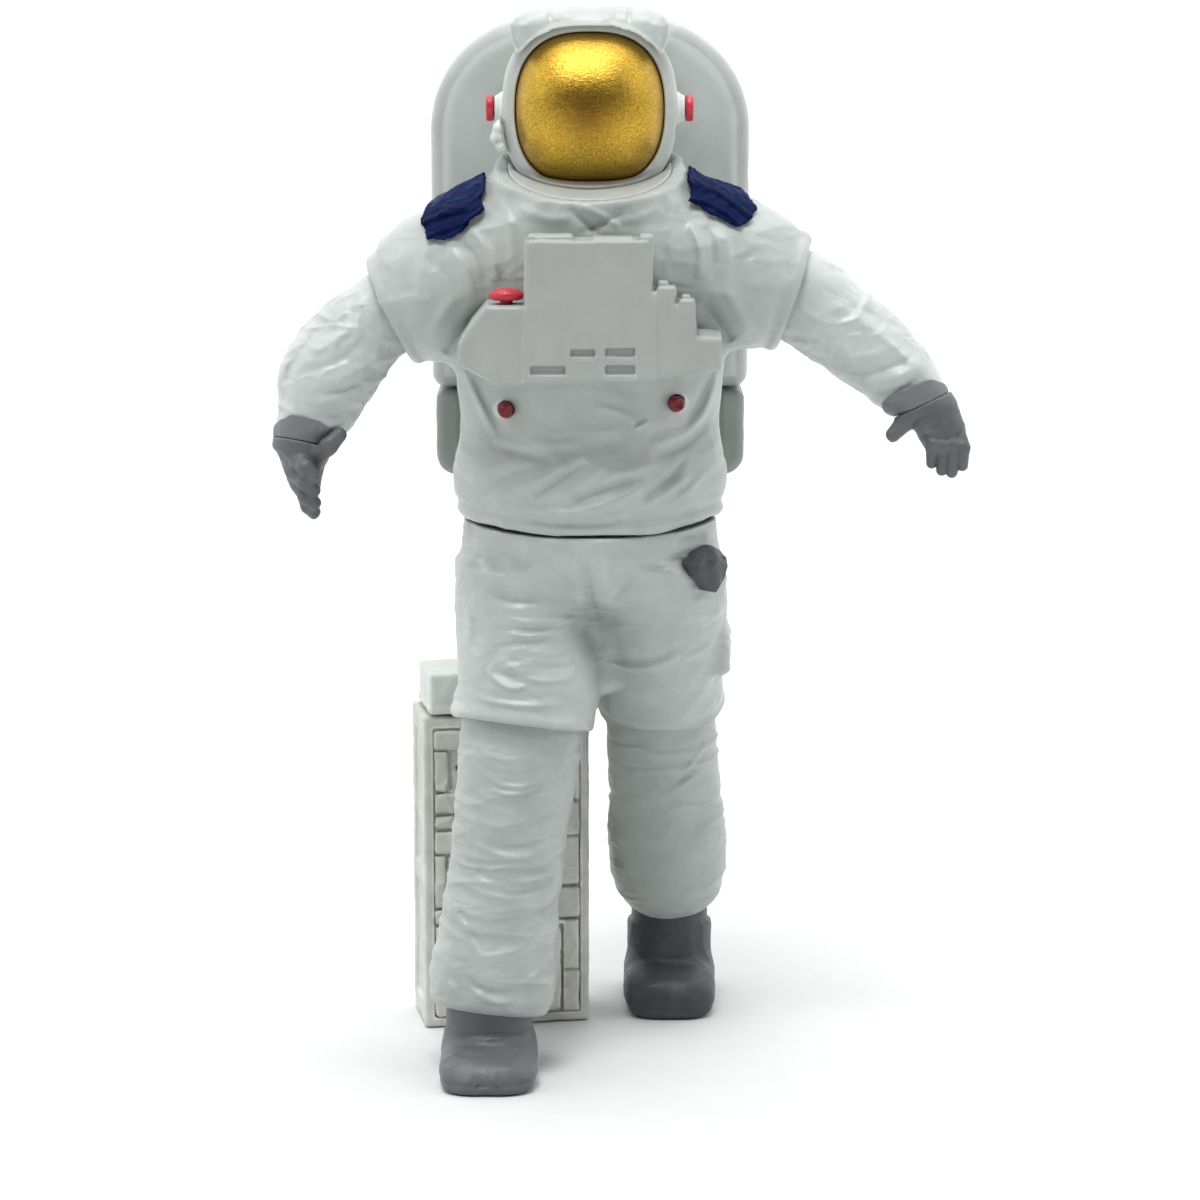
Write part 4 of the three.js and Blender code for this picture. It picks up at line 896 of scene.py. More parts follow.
def purge_knob(p):
    cap = smax(ellipsoid(p, KNOB.out(0.45), (1.62, 1.45, 0.75)), 77.12 - p[:, 2], 0.1)
    return smin(cap, rod(p, KNOB, 0.6, -1.9, 0.3), 0.1) - 0.03 * crumple(p, 4, 0.8)


def belly_connector(side):
    at = BELLY[side]

    def field(p):
        q = p - at.at
        radius = np.hypot(q[:, 0], q[:, 2])
        d = smax(radius - 0.72, np.maximum(-q[:, 1], q[:, 1] - 3.2), 0.2)
        return d - 0.05 * crumple(p, 9, 0.6)
    return field


plan("chest_module", chest_module, (-13, -15.8, 68.5), (13, -6.2, 84), "torso", ["chest_control_module"],
     "hard_white", SHELL, 0.15)
plan("purge_knob", purge_knob, (-9.7, -14.9, 75), (-6.1, -11.5, 78.5), "torso", ["module_purge_knob"], "signal_red",
     RED, 0.09)
for side, seam in BELLY.items():
    plan(f"{side}_hose_connector", belly_connector(side), seam.at - (1.1, 0.2, 1.1), seam.at + (1.1, 3.4, 1.1),
         "torso",
         [f"{side}_belly_connector"], "signal_red", DARK_RED, 0.08)

# ------------------------------------------------------------------ shoulder patches

# Each patch's outline seen a little from above: X, and Z raised by the slope of that view for each mm of Y.
PATCH_VIEW = math.tan(math.radians(10))
PATCH = {
    "right": [(-10.3, 88.4), (-13.0, 87.8), (-15.6, 85.6), (-16.4, 83.4), (-15.6, 81.2), (-14.0, 81.0), (-12.3, 81.7),
              (-11.5, 82.9), (-10.1, 84.2), (-10.6, 85.2), (-10.1, 86.2)],
    "left": [(9.6, 88.7), (12.2, 88.3), (14.8, 86.8), (16.3, 84.6), (15.2, 82.7), (14.1, 82.3), (12.8, 83.0),
             (11.0, 84.0), (9.6, 84.9), (9.9, 86.0), (9.5, 87.0)],
}


def shoulder_patch(side):
    sign = -1 if side == "right" else 1

    def field(p):
        x, y, z = p.T
        seen = z + PATCH_VIEW * y
        edge = polygon(x, seen, PATCH[side]) - 0.16 * lattice_noise(p * 1.6, 31) - 0.08 * lattice_noise(p * 4, 32)
        edge = smax(edge, np.maximum(y - 1.0, -y - 9.5), 0.3)
        # ridges run outward and down the shoulder
        across = seen + 0.55 * sign * x + 0.35 * np.sin(0.9 * x)
        centre = 92.0 if side == "right" else 93.0
        ridges = sum(bell(across - centre + row, width) for row, width in ((0.6, 0.45), (2.3, 0.35), (4.0, 0.5)))
        sheet = np.abs(jacket(p) - 0.34) - 0.2 - 0.26 * ridges - 0.10 * crumple(p, 14, 1.3)
        return smax(edge, sheet, 0.25)
    return field


for side, sign in (("right", -1), ("left", 1)):
    inner, outer = sorted((sign * 9.0, sign * 17.2))
    plan(f"{side}_navy_patch", shoulder_patch(side), (inner, -9.6, 81.0), (outer, 1.2, 90.0), "torso",
         [f"{side}_shoulder_patch"], "navy_blue", NAVY, 0.12)

# ------------------------------------------------------------------ helmet

HOOD_FOLDS = Folds([
    # the edge of the side cheeks, from the crown's corners down to the pivots, and the flare under them
    ((-7.4, -4.2, 101.0), (-8.3, -3.6, 98.6), (-8.6, -2.4, 96.2), 0.30, 0.22),
    ((7.4, -4.2, 101.0), (8.3, -3.6, 98.6), (8.6, -2.4, 96.2), 0.30, 0.22),
    ((8.4, -3.4, 91.8), (8.4, -3.4, 90.4), (7.6, -3.6, 88.8), 0.50, 0.26),
    ((8.6, -3.0, 93.2), (8.5, -3.0, 92.6), (8.3, -3.0, 92.0), 0.35, -0.24),
    ((-8.2, -3.4, 90.0), (-7.6, -3.6, 88.8), (-6.2, -4.0, 87.6), 0.45, 0.18),
    ((-7.0, 3.5, 98.8), (0, 6.9, 99.8), (7.0, 3.5, 98.8), 0.50, 0.16),
])
OPENING_Y = -3.8


def hood_skin(p):
    q = p - HELMET
    outer = helmet_form(p)
    # a rolled rim round the opening
    outer = outer - 0.22 * bell(q[:, 1] + 2.0, 0.55) + 0.14 * bell(q[:, 1] + 0.6, 0.5)
    outer = outer - HOOD_FOLDS(p) - 0.06 * crumple(p, 17, 2.6)
    return np.maximum(outer, helmet_form(p, 8.55, 8.85))


def hood(p):
    q = p - HELMET
    outer = smax(hood_skin(p), OPENING_Y - p[:, 1], 1.0)
    # the neck skirt is round, so that it stays in the collar as the helmet turns
    skirt = smax(helmet_room(p) + 0.06, collar_plane(p) - 0.2, 0.45)
    d = smax(smin(outer, skirt, 0.5), -helmet_form(p, 7.4, 7.8), 0.2)
    d = np.maximum(d, 0.85 - np.hypot(q[:, 1], q[:, 2]))
    return np.maximum(d, -peg_hole(p, NECK, "neck", 80, 92))


CROWN_HALF = [(6.9, 4.7), (7.4, 6.0), (7.8, 7.2), (7.85, 8.2), (7.2, 9.1), (5.8, 9.75), (3.6, 10)]
CROWN = [(-x, z) for x, z in CROWN_HALF] + CROWN_HALF[::-1]
CROWN_LEAN = 0.8
CROWN_FOLDS = Folds([
    ((-6.8, 102.2), (-5.4, 102.9), (-4.0, 102.6), 0.35, 0.22),
    ((-7.4, 101.2), (-5.8, 101.6), (-4.4, 101.2), 0.30, -0.16),
    ((4.2, 102.7), (5.6, 103.1), (6.9, 102.3), 0.40, 0.26),
    ((5.0, 101.6), (6.2, 101.9), (7.3, 101.2), 0.30, -0.16),
    ((-3.4, 103.6), (0, 103.2), (3.4, 103.6), 0.40, 0.14),
    ((-6.0, 100.9), (0, 103.2), (6.0, 100.9), 0.35, 0.16),
], front=-4.2)


def crown(p):
    q = p - HELMET
    outline = polygon(q[:, 0], q[:, 2], CROWN) + 0.15
    d = smax(outline, np.abs(q[:, 1]) - 3.75, 1.0)
    # its front leans back
    d = smax(d, 0.78 * (CROWN_LEAN * (q[:, 2] - 8.4) - 3.7 - q[:, 1]), 1.2)
    # two shallow grooves over the top, and a step at the back
    d = d + 0.14 * (bell(np.abs(q[:, 0]) - 3.8, 0.2) + bell(q[:, 1] - 1.2, 0.2)) * ramp(q[:, 2], 8.0, 9.2)
    d = d - 0.05 * crumple(p, 23, 2.4) - CROWN_FOLDS(p)
    bumps = [ellipsoid(p, (x, -4.0, 102.6), (0.9, 0.8, 0.45)) for x in (-6.4, 6.4)]
    d = smin(d, np.minimum(*bumps), 0.3)
    d = smax(d, outline - 0.25, 0.2)
    return np.maximum(d, 0.04 - hood_skin(p))


def latch(p):
    lumps = [ellipsoid(p, (-8.5, -3.2, 93.0), (0.85, 1.1, 0.75)), ellipsoid(p, (-8.7, -2.9, 91.9), (0.95, 1.3, 0.85)),
             ellipsoid(p, (-8.35, -3.4, 91.0), (0.75, 1.0, 0.6)), ellipsoid(p, (-9.0, -1.9, 92.5), (0.5, 0.8, 0.6))]
    return smax(joined(lumps, 0.3) - 0.05 * crumple(p, 8, 0.9), 0.25 - helmet_form(p, 8.6, 8.9), 0.1)


def pivot_boss(sign):
    def field(p):
        q = p - HELMET
        out, radius = sign * q[:, 0], np.hypot(q[:, 1], q[:, 2])
        d = smax(radius - 1.2 - 0.45 * bell(out - 8.4, 0.5), np.maximum(7.7 - out, out - 9.28), 0.18)
        return np.maximum(np.maximum(d, 0.04 - helmet_form(p)), 0.8 - radius)
    return field


def pivot_pin(sign):
    def field(p):
        q = p - HELMET
        out, radius = sign * q[:, 0], np.hypot(q[:, 1], q[:, 2])
        cap = smax(radius - 1.28, np.maximum(9.34 - out, out - 10.1), 0.25)
        pin = np.maximum(radius - 0.7, np.maximum(4.6 - out, out - 9.6))
        return smin(cap, pin, 0.1) - 0.02 * crumple(p, 12, 0.7)
    return field


VISOR_EAR, VISOR_BACK = 1.6, 2.2  # half height of the ends that hold the pins, and how far back they reach
VISOR_EDGES = ((-1, math.radians(66)), (1, math.radians(70)))  # lower and upper edge, and how each slants


def visor(p):
    """A shield in front of the helmet, cut off along two slanting edges that meet behind the pins."""
    q = p - HELMET
    d = np.maximum(helmet_form(p, 7.31, 7.71), -helmet_form(p, 6.6, 7.0))
    edges = [(up * q[:, 2] - VISOR_EAR) * math.cos(slant) + (q[:, 1] - VISOR_BACK) * math.sin(slant)
             for up, slant in VISOR_EDGES]
    d = smax(d, np.maximum(np.maximum(*edges), q[:, 1] - VISOR_BACK), 0.15)
    return np.maximum(d, 1.0 - np.hypot(q[:, 1], q[:, 2]))


def bubble(p):
    q = p - HELMET
    d = helmet_form(p, 6.2, 6.6)
    pins = np.maximum(np.hypot(q[:, 1], q[:, 2]) - 1.0, 4 - np.abs(q[:, 0]))
    return np.maximum(np.maximum(d, -pins), -peg_hole(p, NECK, "neck", 80, 90.3))


plan("helmet_hood_cover", hood, (-9, -9.6, 85.4), (9, 8.1, 103.8), "helmet", ["helmet_hood"], "hard_white",
     SUIT_PAINTED_LIT, 0.16)
plan("helmet_crown_cover", crown, (-8.3, -6.2, 98), (8.3, 3.2, 104.9), "helmet", ["helmet_crown"], "hard_white",
     SUIT_PAINTED_LIT, 0.14)
plan("inner_bubble", bubble, (-6.4, -8, 88), (6.4, 5.6, 101.5), "helmet", ["helmet_bubble"], "bubble_black", BUBBLE,
     0.25)
plan("helmet_latch", latch, (-9.9, -5, 90), (-7, -0.6, 94), "helmet", ["hood_latch"], "hard_white", SUIT_PAINTED_LIT, 0.09)
plan("neck_pin", lambda p: rod(p, NECK, PEG_RADIUS["neck"], 81, 90, 0.2), (-1.5, -2.7, 80.8), (1.5, 0.3, 90.2),
     "helmet",
     ["neck_peg"], "peg_grey", PEG, 0.15)
plan("gold_visor_shield", visor, (-7.6, -9.2, 86.7), (7.6, 1.3, 102.7), "visor", ["gold_visor"], "visor_gold", GOLD,
     0.13)
for side, sign in (("right", -1), ("left", 1)):
    inner, outer = sorted((sign * 7.5, sign * 9.3))
    plan(f"{side}_boss", pivot_boss(sign), (inner, -2.8, 93.1), (outer, 0.4, 96.3), "helmet", [f"{side}_pivot_boss"],
         "hard_white", SUIT_PAINTED_LIT, 0.09)
    inner, outer = sorted((sign * 4.5, sign * 10.2))
    plan(f"{side}_visor_pin", pivot_pin(sign), (inner, -2.6, 93.3), (outer, 0.2, 96.1), "helmet",
         [f"{side}_pivot_pin"], "signal_red", RED, 0.08)

# ------------------------------------------------------------------ arms

SLEEVE = {}
for side, path in (("right", [((-23.3, -1.8, 71.9), 4.5), ((-25.8, -2.5, 68.4), 4.65), ((-27.0, -3.2, 65.2), 3.85)]),
                   ("left", [((24.0, -1.7, 73.9), 4.25), ((27.6, -2.4, 71.2), 4.0), ((30.6, -3.2, 68.4), 3.5)])):
    arm, wrist, shaft = ARM[side], WRIST[side], ARM_RIM[side] - 1.0
    SLEEVE[side] = Limb(
        [(arm.out(GAP - SOCKET_DEPTH), shaft, shaft), (arm.out(0.6), shaft, shaft)]
        + [(at, radius, radius) for at, radius in path] + [(wrist.at, 2.62, 2.62)],
        start_along=arm.along, end_along=wrist.along)
SLEEVE_FOLDS = {
    "right": Folds(front=-2.6, items=[
        ((-22.6, 75.0), (-24.6, 72.6), (-27.4, 71.4), 0.45, 0.26),
        ((-21.4, 73.4), (-24.0, 70.8), (-27.6, 69.6), 0.45, -0.26),
        ((-20.4, 71.0), (-22.6, 69.6), (-26.0, 68.6), 0.50, 0.26),
        ((-21.4, 69.2), (-23.6, 68.0), (-27.0, 67.4), 0.40, -0.28),
        ((-22.2, 67.8), (-24.4, 66.8), (-28.2, 66.6), 0.45, 0.24),
        ((-22.8, 66.0), (-25.2, 65.2), (-29.0, 65.6), 0.40, -0.22),
        ((-24.2, 64.4), (-26.4, 63.8), (-29.4, 64.2), 0.40, 0.20),
        ((-21.8, 77.2), (-22.6, 74.6), (-22.0, 71.8), 0.50, 0.18),
        ((-25.4, 74.2), (-28.2, 71.4), (-29.8, 68.0), 0.45, -0.16),
        ((-29.6, 70.6), (-30.4, 67.6), (-30.6, 65.0), 0.50, 0.20),
        ((-30.6, 68.4), (-30.8, 67.4), (-29.4, 67.0), 0.35, -0.20),
    ]),
    "left": Folds(front=-2.6, items=[
        ((21.6, 74.4), (24.0, 75.6), (26.0, 76.4), 0.50, 0.18),
        ((22.6, 72.2), (25.6, 73.0), (28.6, 74.0), 0.50, -0.18),
        ((24.0, 70.6), (27.0, 71.0), (30.2, 72.2), 0.45, 0.24),
        ((25.4, 69.4), (28.4, 69.6), (31.6, 71.0), 0.38, -0.28),
        ((26.6, 68.4), (29.2, 68.8), (32.4, 70.2), 0.38, 0.26),
        ((27.8, 67.4), (30.0, 67.8), (33.0, 69.2), 0.34, -0.26),
        ((28.8, 66.4), (31.0, 66.8), (34.0, 68.0), 0.36, 0.24),
        ((26.2, 74.2), (29.6, 72.0), (32.2, 69.4), 0.40, 0.16),
        ((22.8, 77.4), (26.0, 75.6), (29.4, 74.2), 0.50, -0.14),
        ((24.6, 69.6), (26.6, 68.2), (28.4, 66.8), 0.50, 0.20),
    ]),
}


def sleeve_skin(p, side):
    wall, s = SLEEVE[side].wall(p)
    relief = 0.17 * crumple(p, 41, 2.6, (1.1, 1.1, 0.75)) + 0.06 * crumple(p, 43, 1.1)
    fade = ramp(s, 1.2, 3.2) * ramp(SLEEVE[side].length - s, 0.4, 2.4)
    return wall - fade * (relief + SLEEVE_FOLDS[side](p))


def sleeve(side):
    arm, wrist = ARM[side], WRIST[side]

    def field(p):
        d = smax(sleeve_skin(p, side), SLEEVE[side].ends(p), 0.2)
        d = smax(d, -rod(p, wrist, WRIST_BORE, -SOCKET_DEPTH, 2), 0.1)
        d = np.maximum(d, -peg_hole(p, wrist, "wrist", -4.5, 2))
        return np.maximum(d, -peg_hole(p, arm, "shoulder", -2, 3.5))
    return field


GAUNTLET_LEAN = {"right": np.array((0.12, 0.62, 0.0)), "left": np.array((0.05, 0.62, 0.0))}


def gauntlet(side):
    """The glove's cuff, drawn over the front of the sleeve's end, with a slanting edge."""
    wrist, lean = WRIST[side], GAUNTLET_LEAN[side]

    def field(p):
        q = p - wrist.at
        out = q @ wrist.along
        edge = q @ lean - out - 0.5 - 0.12 * lattice_noise(p * 1.2, 55)
        sheet = np.abs(sleeve_skin(p, side) - 0.12) - 0.12 - 0.04 * crumple(p, 53, 1.2)
        return np.maximum(smax(sheet, edge, 0.12), out)
    return field


def headed_peg(seam, shank, start, end, head=0.0, head_length=0.0):
    def field(p):
        d = rod(p, seam, shank, start, end, 0.25)
        return np.minimum(d, rod(p, seam, head, start - head_length, start, 0.15)) if head else d
    return field


def plan_peg(name, node, body, seam, peg, start, end, head=0.0, head_length=0.0):
    shank = PEG_RADIUS[peg]
    ends = np.array([seam.out(start - head_length), seam.out(end)])
    reach = max(shank, head) + 0.1
    plan(name, headed_peg(seam, shank, start, end, head, head_length), ends.min(axis=0) - reach,
         ends.max(axis=0) + reach, body, [node], "peg_grey", PEG, 0.2)


for side in ARM:
    path = SLEEVE[side].centre
    plan(f"{side}_suit_sleeve", sleeve(side), path.min(axis=0) - 5.6, path.max(axis=0) + 5.6, f"{side}_arm",
         [f"{side}_sleeve"], "suit_white", SUIT_PAINTED_LIT, 0.17)
    plan(f"{side}_gauntlet", gauntlet(side), WRIST[side].at - 4.2, WRIST[side].at + 4.2, f"{side}_arm",
         [f"{side}_sleeve"], "glove_grey", GLOVE, 0.11)
    plan_peg(f"{side}_shoulder_pin", f"{side}_arm_peg", f"{side}_arm", ARM[side], "shoulder", -3.3, 3.2, 2.5, 1.2)
    plan_peg(f"{side}_wrist_pin", f"{side}_wrist_peg", f"{side}_arm", WRIST[side], "wrist", -4.2, 2.2)

# ------------------------------------------------------------------ hands


def bent_finger(p, knuckle, middle, tip, radius):
    upper = capsule(p, knuckle, middle, radius, radius * 0.95)
    return smin(upper, capsule(p, middle, tip, radius * 0.95, radius * 0.8), 0.25)


RIGHT_PALM = Limb([((-28.2, -3.9, 62.8), 2.5, 2.5), ((-28.2, -4.2, 61.2), 2.3, 2.7), ((-28.0, -4.5, 59.0), 1.8, 2.5),
                   ((-27.7, -4.6, 57.0), 1.1, 1.6)])
LEFT_PALM = Limb([((32.7, -3.8, 66.3), 2.4, 2.3), ((33.8, -4.0, 64.9), 2.4, 2.1), ((34.6, -4.3, 63.2), 2.3, 1.7),
                  ((35.0, -4.8, 61.8), 2.0, 0.8)])
RIGHT_FINGERS = [((-29.0, -5.9, 60.9), (-27.7, -7.5, 60.2), (-27.0, -7.4, 59.3)),
                 ((-29.0, -5.6, 59.6), (-27.8, -7.2, 58.8), (-27.0, -6.9, 57.9)),
                 ((-28.6, -5.0, 58.3), (-27.7, -6.5, 57.4), (-27.0, -6.2, 56.5)),
                 ((-28.0, -4.2, 57.0), (-27.5, -5.6, 56.2), (-27.1, -5.3, 55.5))]


def right_hand(p):
    """Half closed and hanging, seen from its thumb side: the fingers curl forward one behind the other."""
    parts = [RIGHT_PALM.solid(p, 0.9)]
    for knuckle, middle, tip in RIGHT_FINGERS:
        parts.append(bent_finger(p, knuckle, middle, tip, 0.86))
    thumb = bent_finger(p, (-26.8, -5.8, 60.9), (-25.4, -7.0, 62.3), (-24.4, -6.7, 63.3), 0.9)
    return smin(joined(parts, 0.22), thumb, 0.5)


def left_hand(p):
    """Open and relaxed, its back to the front, thumb towards the body."""
    parts = [LEFT_PALM.solid(p, 0.8)]
    for i, tip_z in enumerate((60.3, 59.6, 59.4, 60.1)):
        knuckle = (33.0 + 1.02 * i, -4.7, 63.7 - 0.1 * i)
        middle = (33.6 + 0.98 * i, -5.4, 61.9)
        parts.append(bent_finger(p, knuckle, middle, (33.5 + 1.0 * i, -5.0, tip_z), 0.7))
    thumb = bent_finger(p, (32.4, -4.4, 65.0), (30.8, -5.3, 64.4), (29.7, -5.6, 63.2), 0.92)
    return smin(joined(parts, 0.12), thumb, 0.7)


GLOVE_FOLDS = {
    "right": Folds([
        ((-30.4, -5.2, 61.2), (-29.0, -6.6, 60.6), (-27.4, -6.4, 61.0), 0.35, -0.18),
        ((-30.4, -4.6, 60.0), (-29.2, -6.8, 59.4), (-27.8, -6.6, 59.4), 0.35, 0.14),
        ((-30.3, -4.0, 58.2), (-29.6, -6.2, 57.6), (-28.6, -7.2, 57.8), 0.30, -0.14),
    ]),
    "left": Folds([
        ((31.4, -5.6, 64.9), (33.0, -6.0, 64.2), (35.2, -5.6, 64.6), 0.35, -0.14),
        ((32.2, -5.8, 62.9), (34.2, -6.0, 62.4), (36.2, -5.6, 62.6), 0.35, 0.14),
        ((33.2, -5.6, 64.0), (33.9, -5.9, 62.6), (34.0, -5.7, 61.4), 0.30, 0.12),
        ((34.9, -5.6, 64.0), (35.3, -5.8, 62.6), (35.4, -5.6, 61.4), 0.30, 0.12),
    ]),
}


def glove(side):
    wrist = WRIST[side]
    hand = right_hand if side == "right" else left_hand

    def field(p):
        d = hand(p) - GLOVE_FOLDS[side](p) - 0.05 * crumple(p, 51, 1.5)
        d = smin(d, rod(p, wrist, 2.6, -0.4, 0.9, 0.4), 1.4)
        # only the thumb may reach past the gauntlet's edge
        d = np.maximum(d, -rod(p, wrist, 3.45, -4.5, 0.05))
        d = np.minimum(d, rod(p, wrist, WRIST_SPIGOT, GAP - SOCKET_DEPTH, 1.2))
        return np.maximum(d, -peg_hole(p, wrist, "wrist", -2, 2.6))
    return field


plan("right_glove_hand", glove("right"), (-31.8, -8.6, 53.6), (-24.0, -0.4, 66.0), "right_hand", ["right_glove"],
     "glove_grey", GLOVE, 0.11)
plan("left_glove_hand", glove("left"), (28.4, -7.4, 56.4), (38.0, -0.4, 69.4), "left_hand", ["left_glove"],
     "glove_grey", GLOVE, 0.11)

# ------------------------------------------------------------------ trousers

PELVIS = Limb([((0, TORSO_Y, z), across, depth) for z, across, depth in (
    (42.0, 11.6, 5.6), (45.0, 12.3, 7.0), (48.5, 12.7, 8.5), (51.0, 12.7, 9.0), (53.4, 12.5, 9.0), (56.0, 12.4, 8.9))])


def thigh(side, hip, middle):
    cuff, half = CUFF[side], CUFF_HALF[side]
    return Limb([(hip, 6.2, 8.0), (middle, 6.55, 7.6), (cuff.out(-3.6), half[0] - 0.1, half[1] - 0.1),
                 (cuff.at, *half)],
                start_along=(0, 0, -1), end_along=cuff.along)


THIGH = {"right": thigh("right", (-6.6, -0.6, 49.5), (-6.7, -2.0, 42.5)),
         "left": thigh("left", (6.9, -0.4, 49.5), (7.15, 2.2, 42.5))}
TROUSER_FOLDS = Folds([
    # right thigh
    ((-10.6, 51.2), (-8.6, 49.2), (-4.2, 48.4), 0.50, 0.40),
    ((-11.4, 49.0), (-7.8, 47.4), (-3.4, 47.6), 0.55, -0.28),
    ((-10.8, 46.8), (-6.8, 46.4), (-1.8, 46.8), 0.50, 0.16),
    ((-8.4, 45.7), (-5.4, 45.2), (-1.4, 45.2), 0.28, 0.26),
    ((-9.6, 44.6), (-5.8, 44.4), (-2.4, 44.5), 0.25, -0.20),
    ((-8.0, 44.2), (-5.6, 43.9), (-2.4, 44.0), 0.28, 0.24),
    ((-9.6, 42.0), (-7.0, 43.2), (-3.4, 42.9), 0.40, -0.18),
    ((-6.6, 42.6), (-3.4, 42.2), (-0.8, 42.6), 0.30, 0.16),
    ((-8.8, 41.8), (-7.4, 40.8), (-6.0, 40.5), 0.34, 0.22),
    ((-9.4, 41.2), (-8.4, 40.2), (-6.8, 39.9), 0.36, -0.18),
    ((-6.4, 40.0), (-4.0, 39.6), (-1.4, 39.7), 0.26, 0.34),
    ((-5.8, 41.1), (-3.6, 40.7), (-1.2, 40.8), 0.35, -0.20),
    ((-10.0, 40.3), (-8.2, 39.1), (-6.2, 39.2), 0.26, 0.34),
    ((-12.0, 42.8), (-11.0, 41.4), (-10.2, 39.8), 0.45, 0.20),
    ((-11.6, 38.4), (-7.4, 37.9), (-2.4, 38.2), 0.30, -0.14),
    ((-11.2, 37.8), (-7.2, 37.3), (-2.6, 37.3), 0.24, 0.24),
    ((-12.6, 47.0), (-11.9, 44.8), (-12.2, 42.2), 0.40, 0.20),
    # crotch
    ((0.0, 52.0), (-0.2, 49.0), (0.5, 46.0), 0.50, -0.45),
    ((-1.0, 51.2), (-1.3, 49.0), (-1.0, 46.6), 0.45, 0.24),
    ((1.4, 49.8), (1.8, 48.2), (2.6, 46.2), 0.55, 0.16),
    ((-4.4, 50.6), (-2.6, 49.4), (-1.4, 47.6), 0.45, -0.16),
    ((5.4, 50.2), (3.4, 48.8), (2.2, 46.6), 0.45, -0.16),
    # left thigh
    ((7.0, 51.4), (9.0, 50.9), (10.2, 49.3), 0.40, -0.16),
    ((7.4, 50.4), (8.8, 50.0), (9.8, 48.9), 0.36, 0.20),
    ((8.2, 52.7), (9.8, 52.9), (11.4, 53.1), 0.35, -0.24),
    ((3.0, 44.9), (5.2, 45.4), (8.2, 44.8), 0.50, 0.14),
    ((1.8, 40.3), (5.2, 39.7), (9.8, 41.9), 0.30, 0.30),
    ((2.4, 41.1), (5.2, 40.6), (9.2, 42.6), 0.35, -0.22),
    ((9.0, 41.0), (11.0, 41.4), (12.8, 42.4), 0.35, 0.22),
    ((9.6, 47.4), (10.8, 45.4), (11.2, 42.8), 0.45, 0.18),
    ((4.0, 43.2), (6.6, 42.6), (9.0, 43.6), 0.40, 0.14),
], front=-1.5, strength=1.05)
HIP_PAD_AT = np.array((11.0, -6.2, 50.0))
HIP_PAD_FACE = unit((0.72, -0.69, 0.02))
HEM_GAP = 0.25


def trousers_skin(p):
    x, y, z = p.T
    # the hem as it passes over each place while the waist turns
    nearest = np.maximum(math.cos(WAIST_TURN) * np.abs(x) - math.sin(WAIST_TURN) * np.abs(y - TORSO_Y), 0)
    under_hem = hem_height(nearest) - HEM_GAP - z
    # the seat slopes up to the front
    pelvis = smax(PELVIS.wall(p)[0], 0.93 * (44.6 - z - 0.38 * (y + 2.0)), 2.4)
    thighs = np.minimum(*[smax(THIGH[side].wall(p)[0], THIGH[side].ends(p), 0.5) for side in CUFF])
    web = rounded_box(p, (-1.6, -3.4, 36.8), (2.8, 5.6, 48.0), 1.5)
    d = smin(smin(pelvis, thighs, 2.4), web, 1.6)
    # cargo pocket on the outer left thigh
    pocket = rounded_box(p, (10.6, -1.8, 38.2), (14.0, 7.2, 42.9), 1.0) + 0.22 * bell(z - 41.6, 0.22)
    d = smin(d, pocket, 1.0)
    for side, cuff in CUFF.items():
        out = (p - cuff.at) @ cuff.along
        near = ramp(x * (1 if side == "left" else -1), -0.5, 0.8)
        d = d - near * (0.10 * bell(out + 0.5, 0.4) - 0.08 * bell(out + 1.4, 0.45))
    relief = 0.13 * crumple(p, 61, 3.6, (1.5, 1.2, 0.7)) + 0.06 * crumple(p, 63, 1.4, (1.8, 1.5, 0.6))
    d = d - TROUSER_FOLDS(p) - relief
    return smax(d, -under_hem, 0.18)


def trousers(p):
    x, y, z = p.T
    neck = np.hypot(x / 10.8, (y - TORSO_Y) / 7.6)
    neck = smax((neck - 1) * 7.6, np.maximum(z - WAIST_FLOOR + GAP, 50 - z), 0.2)
    d = np.minimum(trousers_skin(p), neck)
    d = np.maximum(d, -peg_hole(p, WAIST, "waist", 48.7, 60))
    for side, cuff in CUFF.items():
        d = smax(d, -rod(p, cuff, LEG_TOP[side] + GAP, -SOCKET_DEPTH, 3), 0.15)
        d = np.maximum(d, -peg_hole(p, cuff, "knee", -6, 3))
    return d


PAD = [(-2.5, 0.9), (-1.2, 1.9), (0.8, 2.3), (2.3, 1.7), (2.7, 0.1), (2.0, -1.2), (0.5, -2.3), (-1.0, -1.9),
       (-2.3, -0.4)]


def hip_pad(p):
    q = p - HIP_PAD_AT
    across = unit(np.cross(UP, HIP_PAD_FACE))
    up = np.cross(HIP_PAD_FACE, across)
    outline = polygon(q @ across, q @ up, PAD)
    sheet = np.abs(trousers_skin(p) - 0.6) - 0.52 - 0.15 * bell(q @ across - 0.3, 0.8) - 0.05 * crumple(p, 71, 1.2)
    return smax(smax(outline, sheet, 0.35), np.abs(q @ HIP_PAD_FACE) - 4, 0.1)


plan("suit_trousers", trousers, (-14.4, -12.4, 33.2), (14.8, 13.6, 56.4), "hips", ["trousers"], "suit_white", SUIT,
     0.19)
plan("hip_pad", hip_pad, (7.8, -10.2, 46.6), (14.4, -2.4, 53.4), "hips", ["hip_tether_pad"], "glove_grey",
     DARK_GREY_AND_BOOT_SHADE, 0.11)
plan_peg("waist_pin", "waist_peg", "hips", Seam((0, TORSO_Y, 58.3), (0, 0, -1)), "waist", 0.0, 9.3, 3.6, 1.5)

# ------------------------------------------------------------------ lower legs

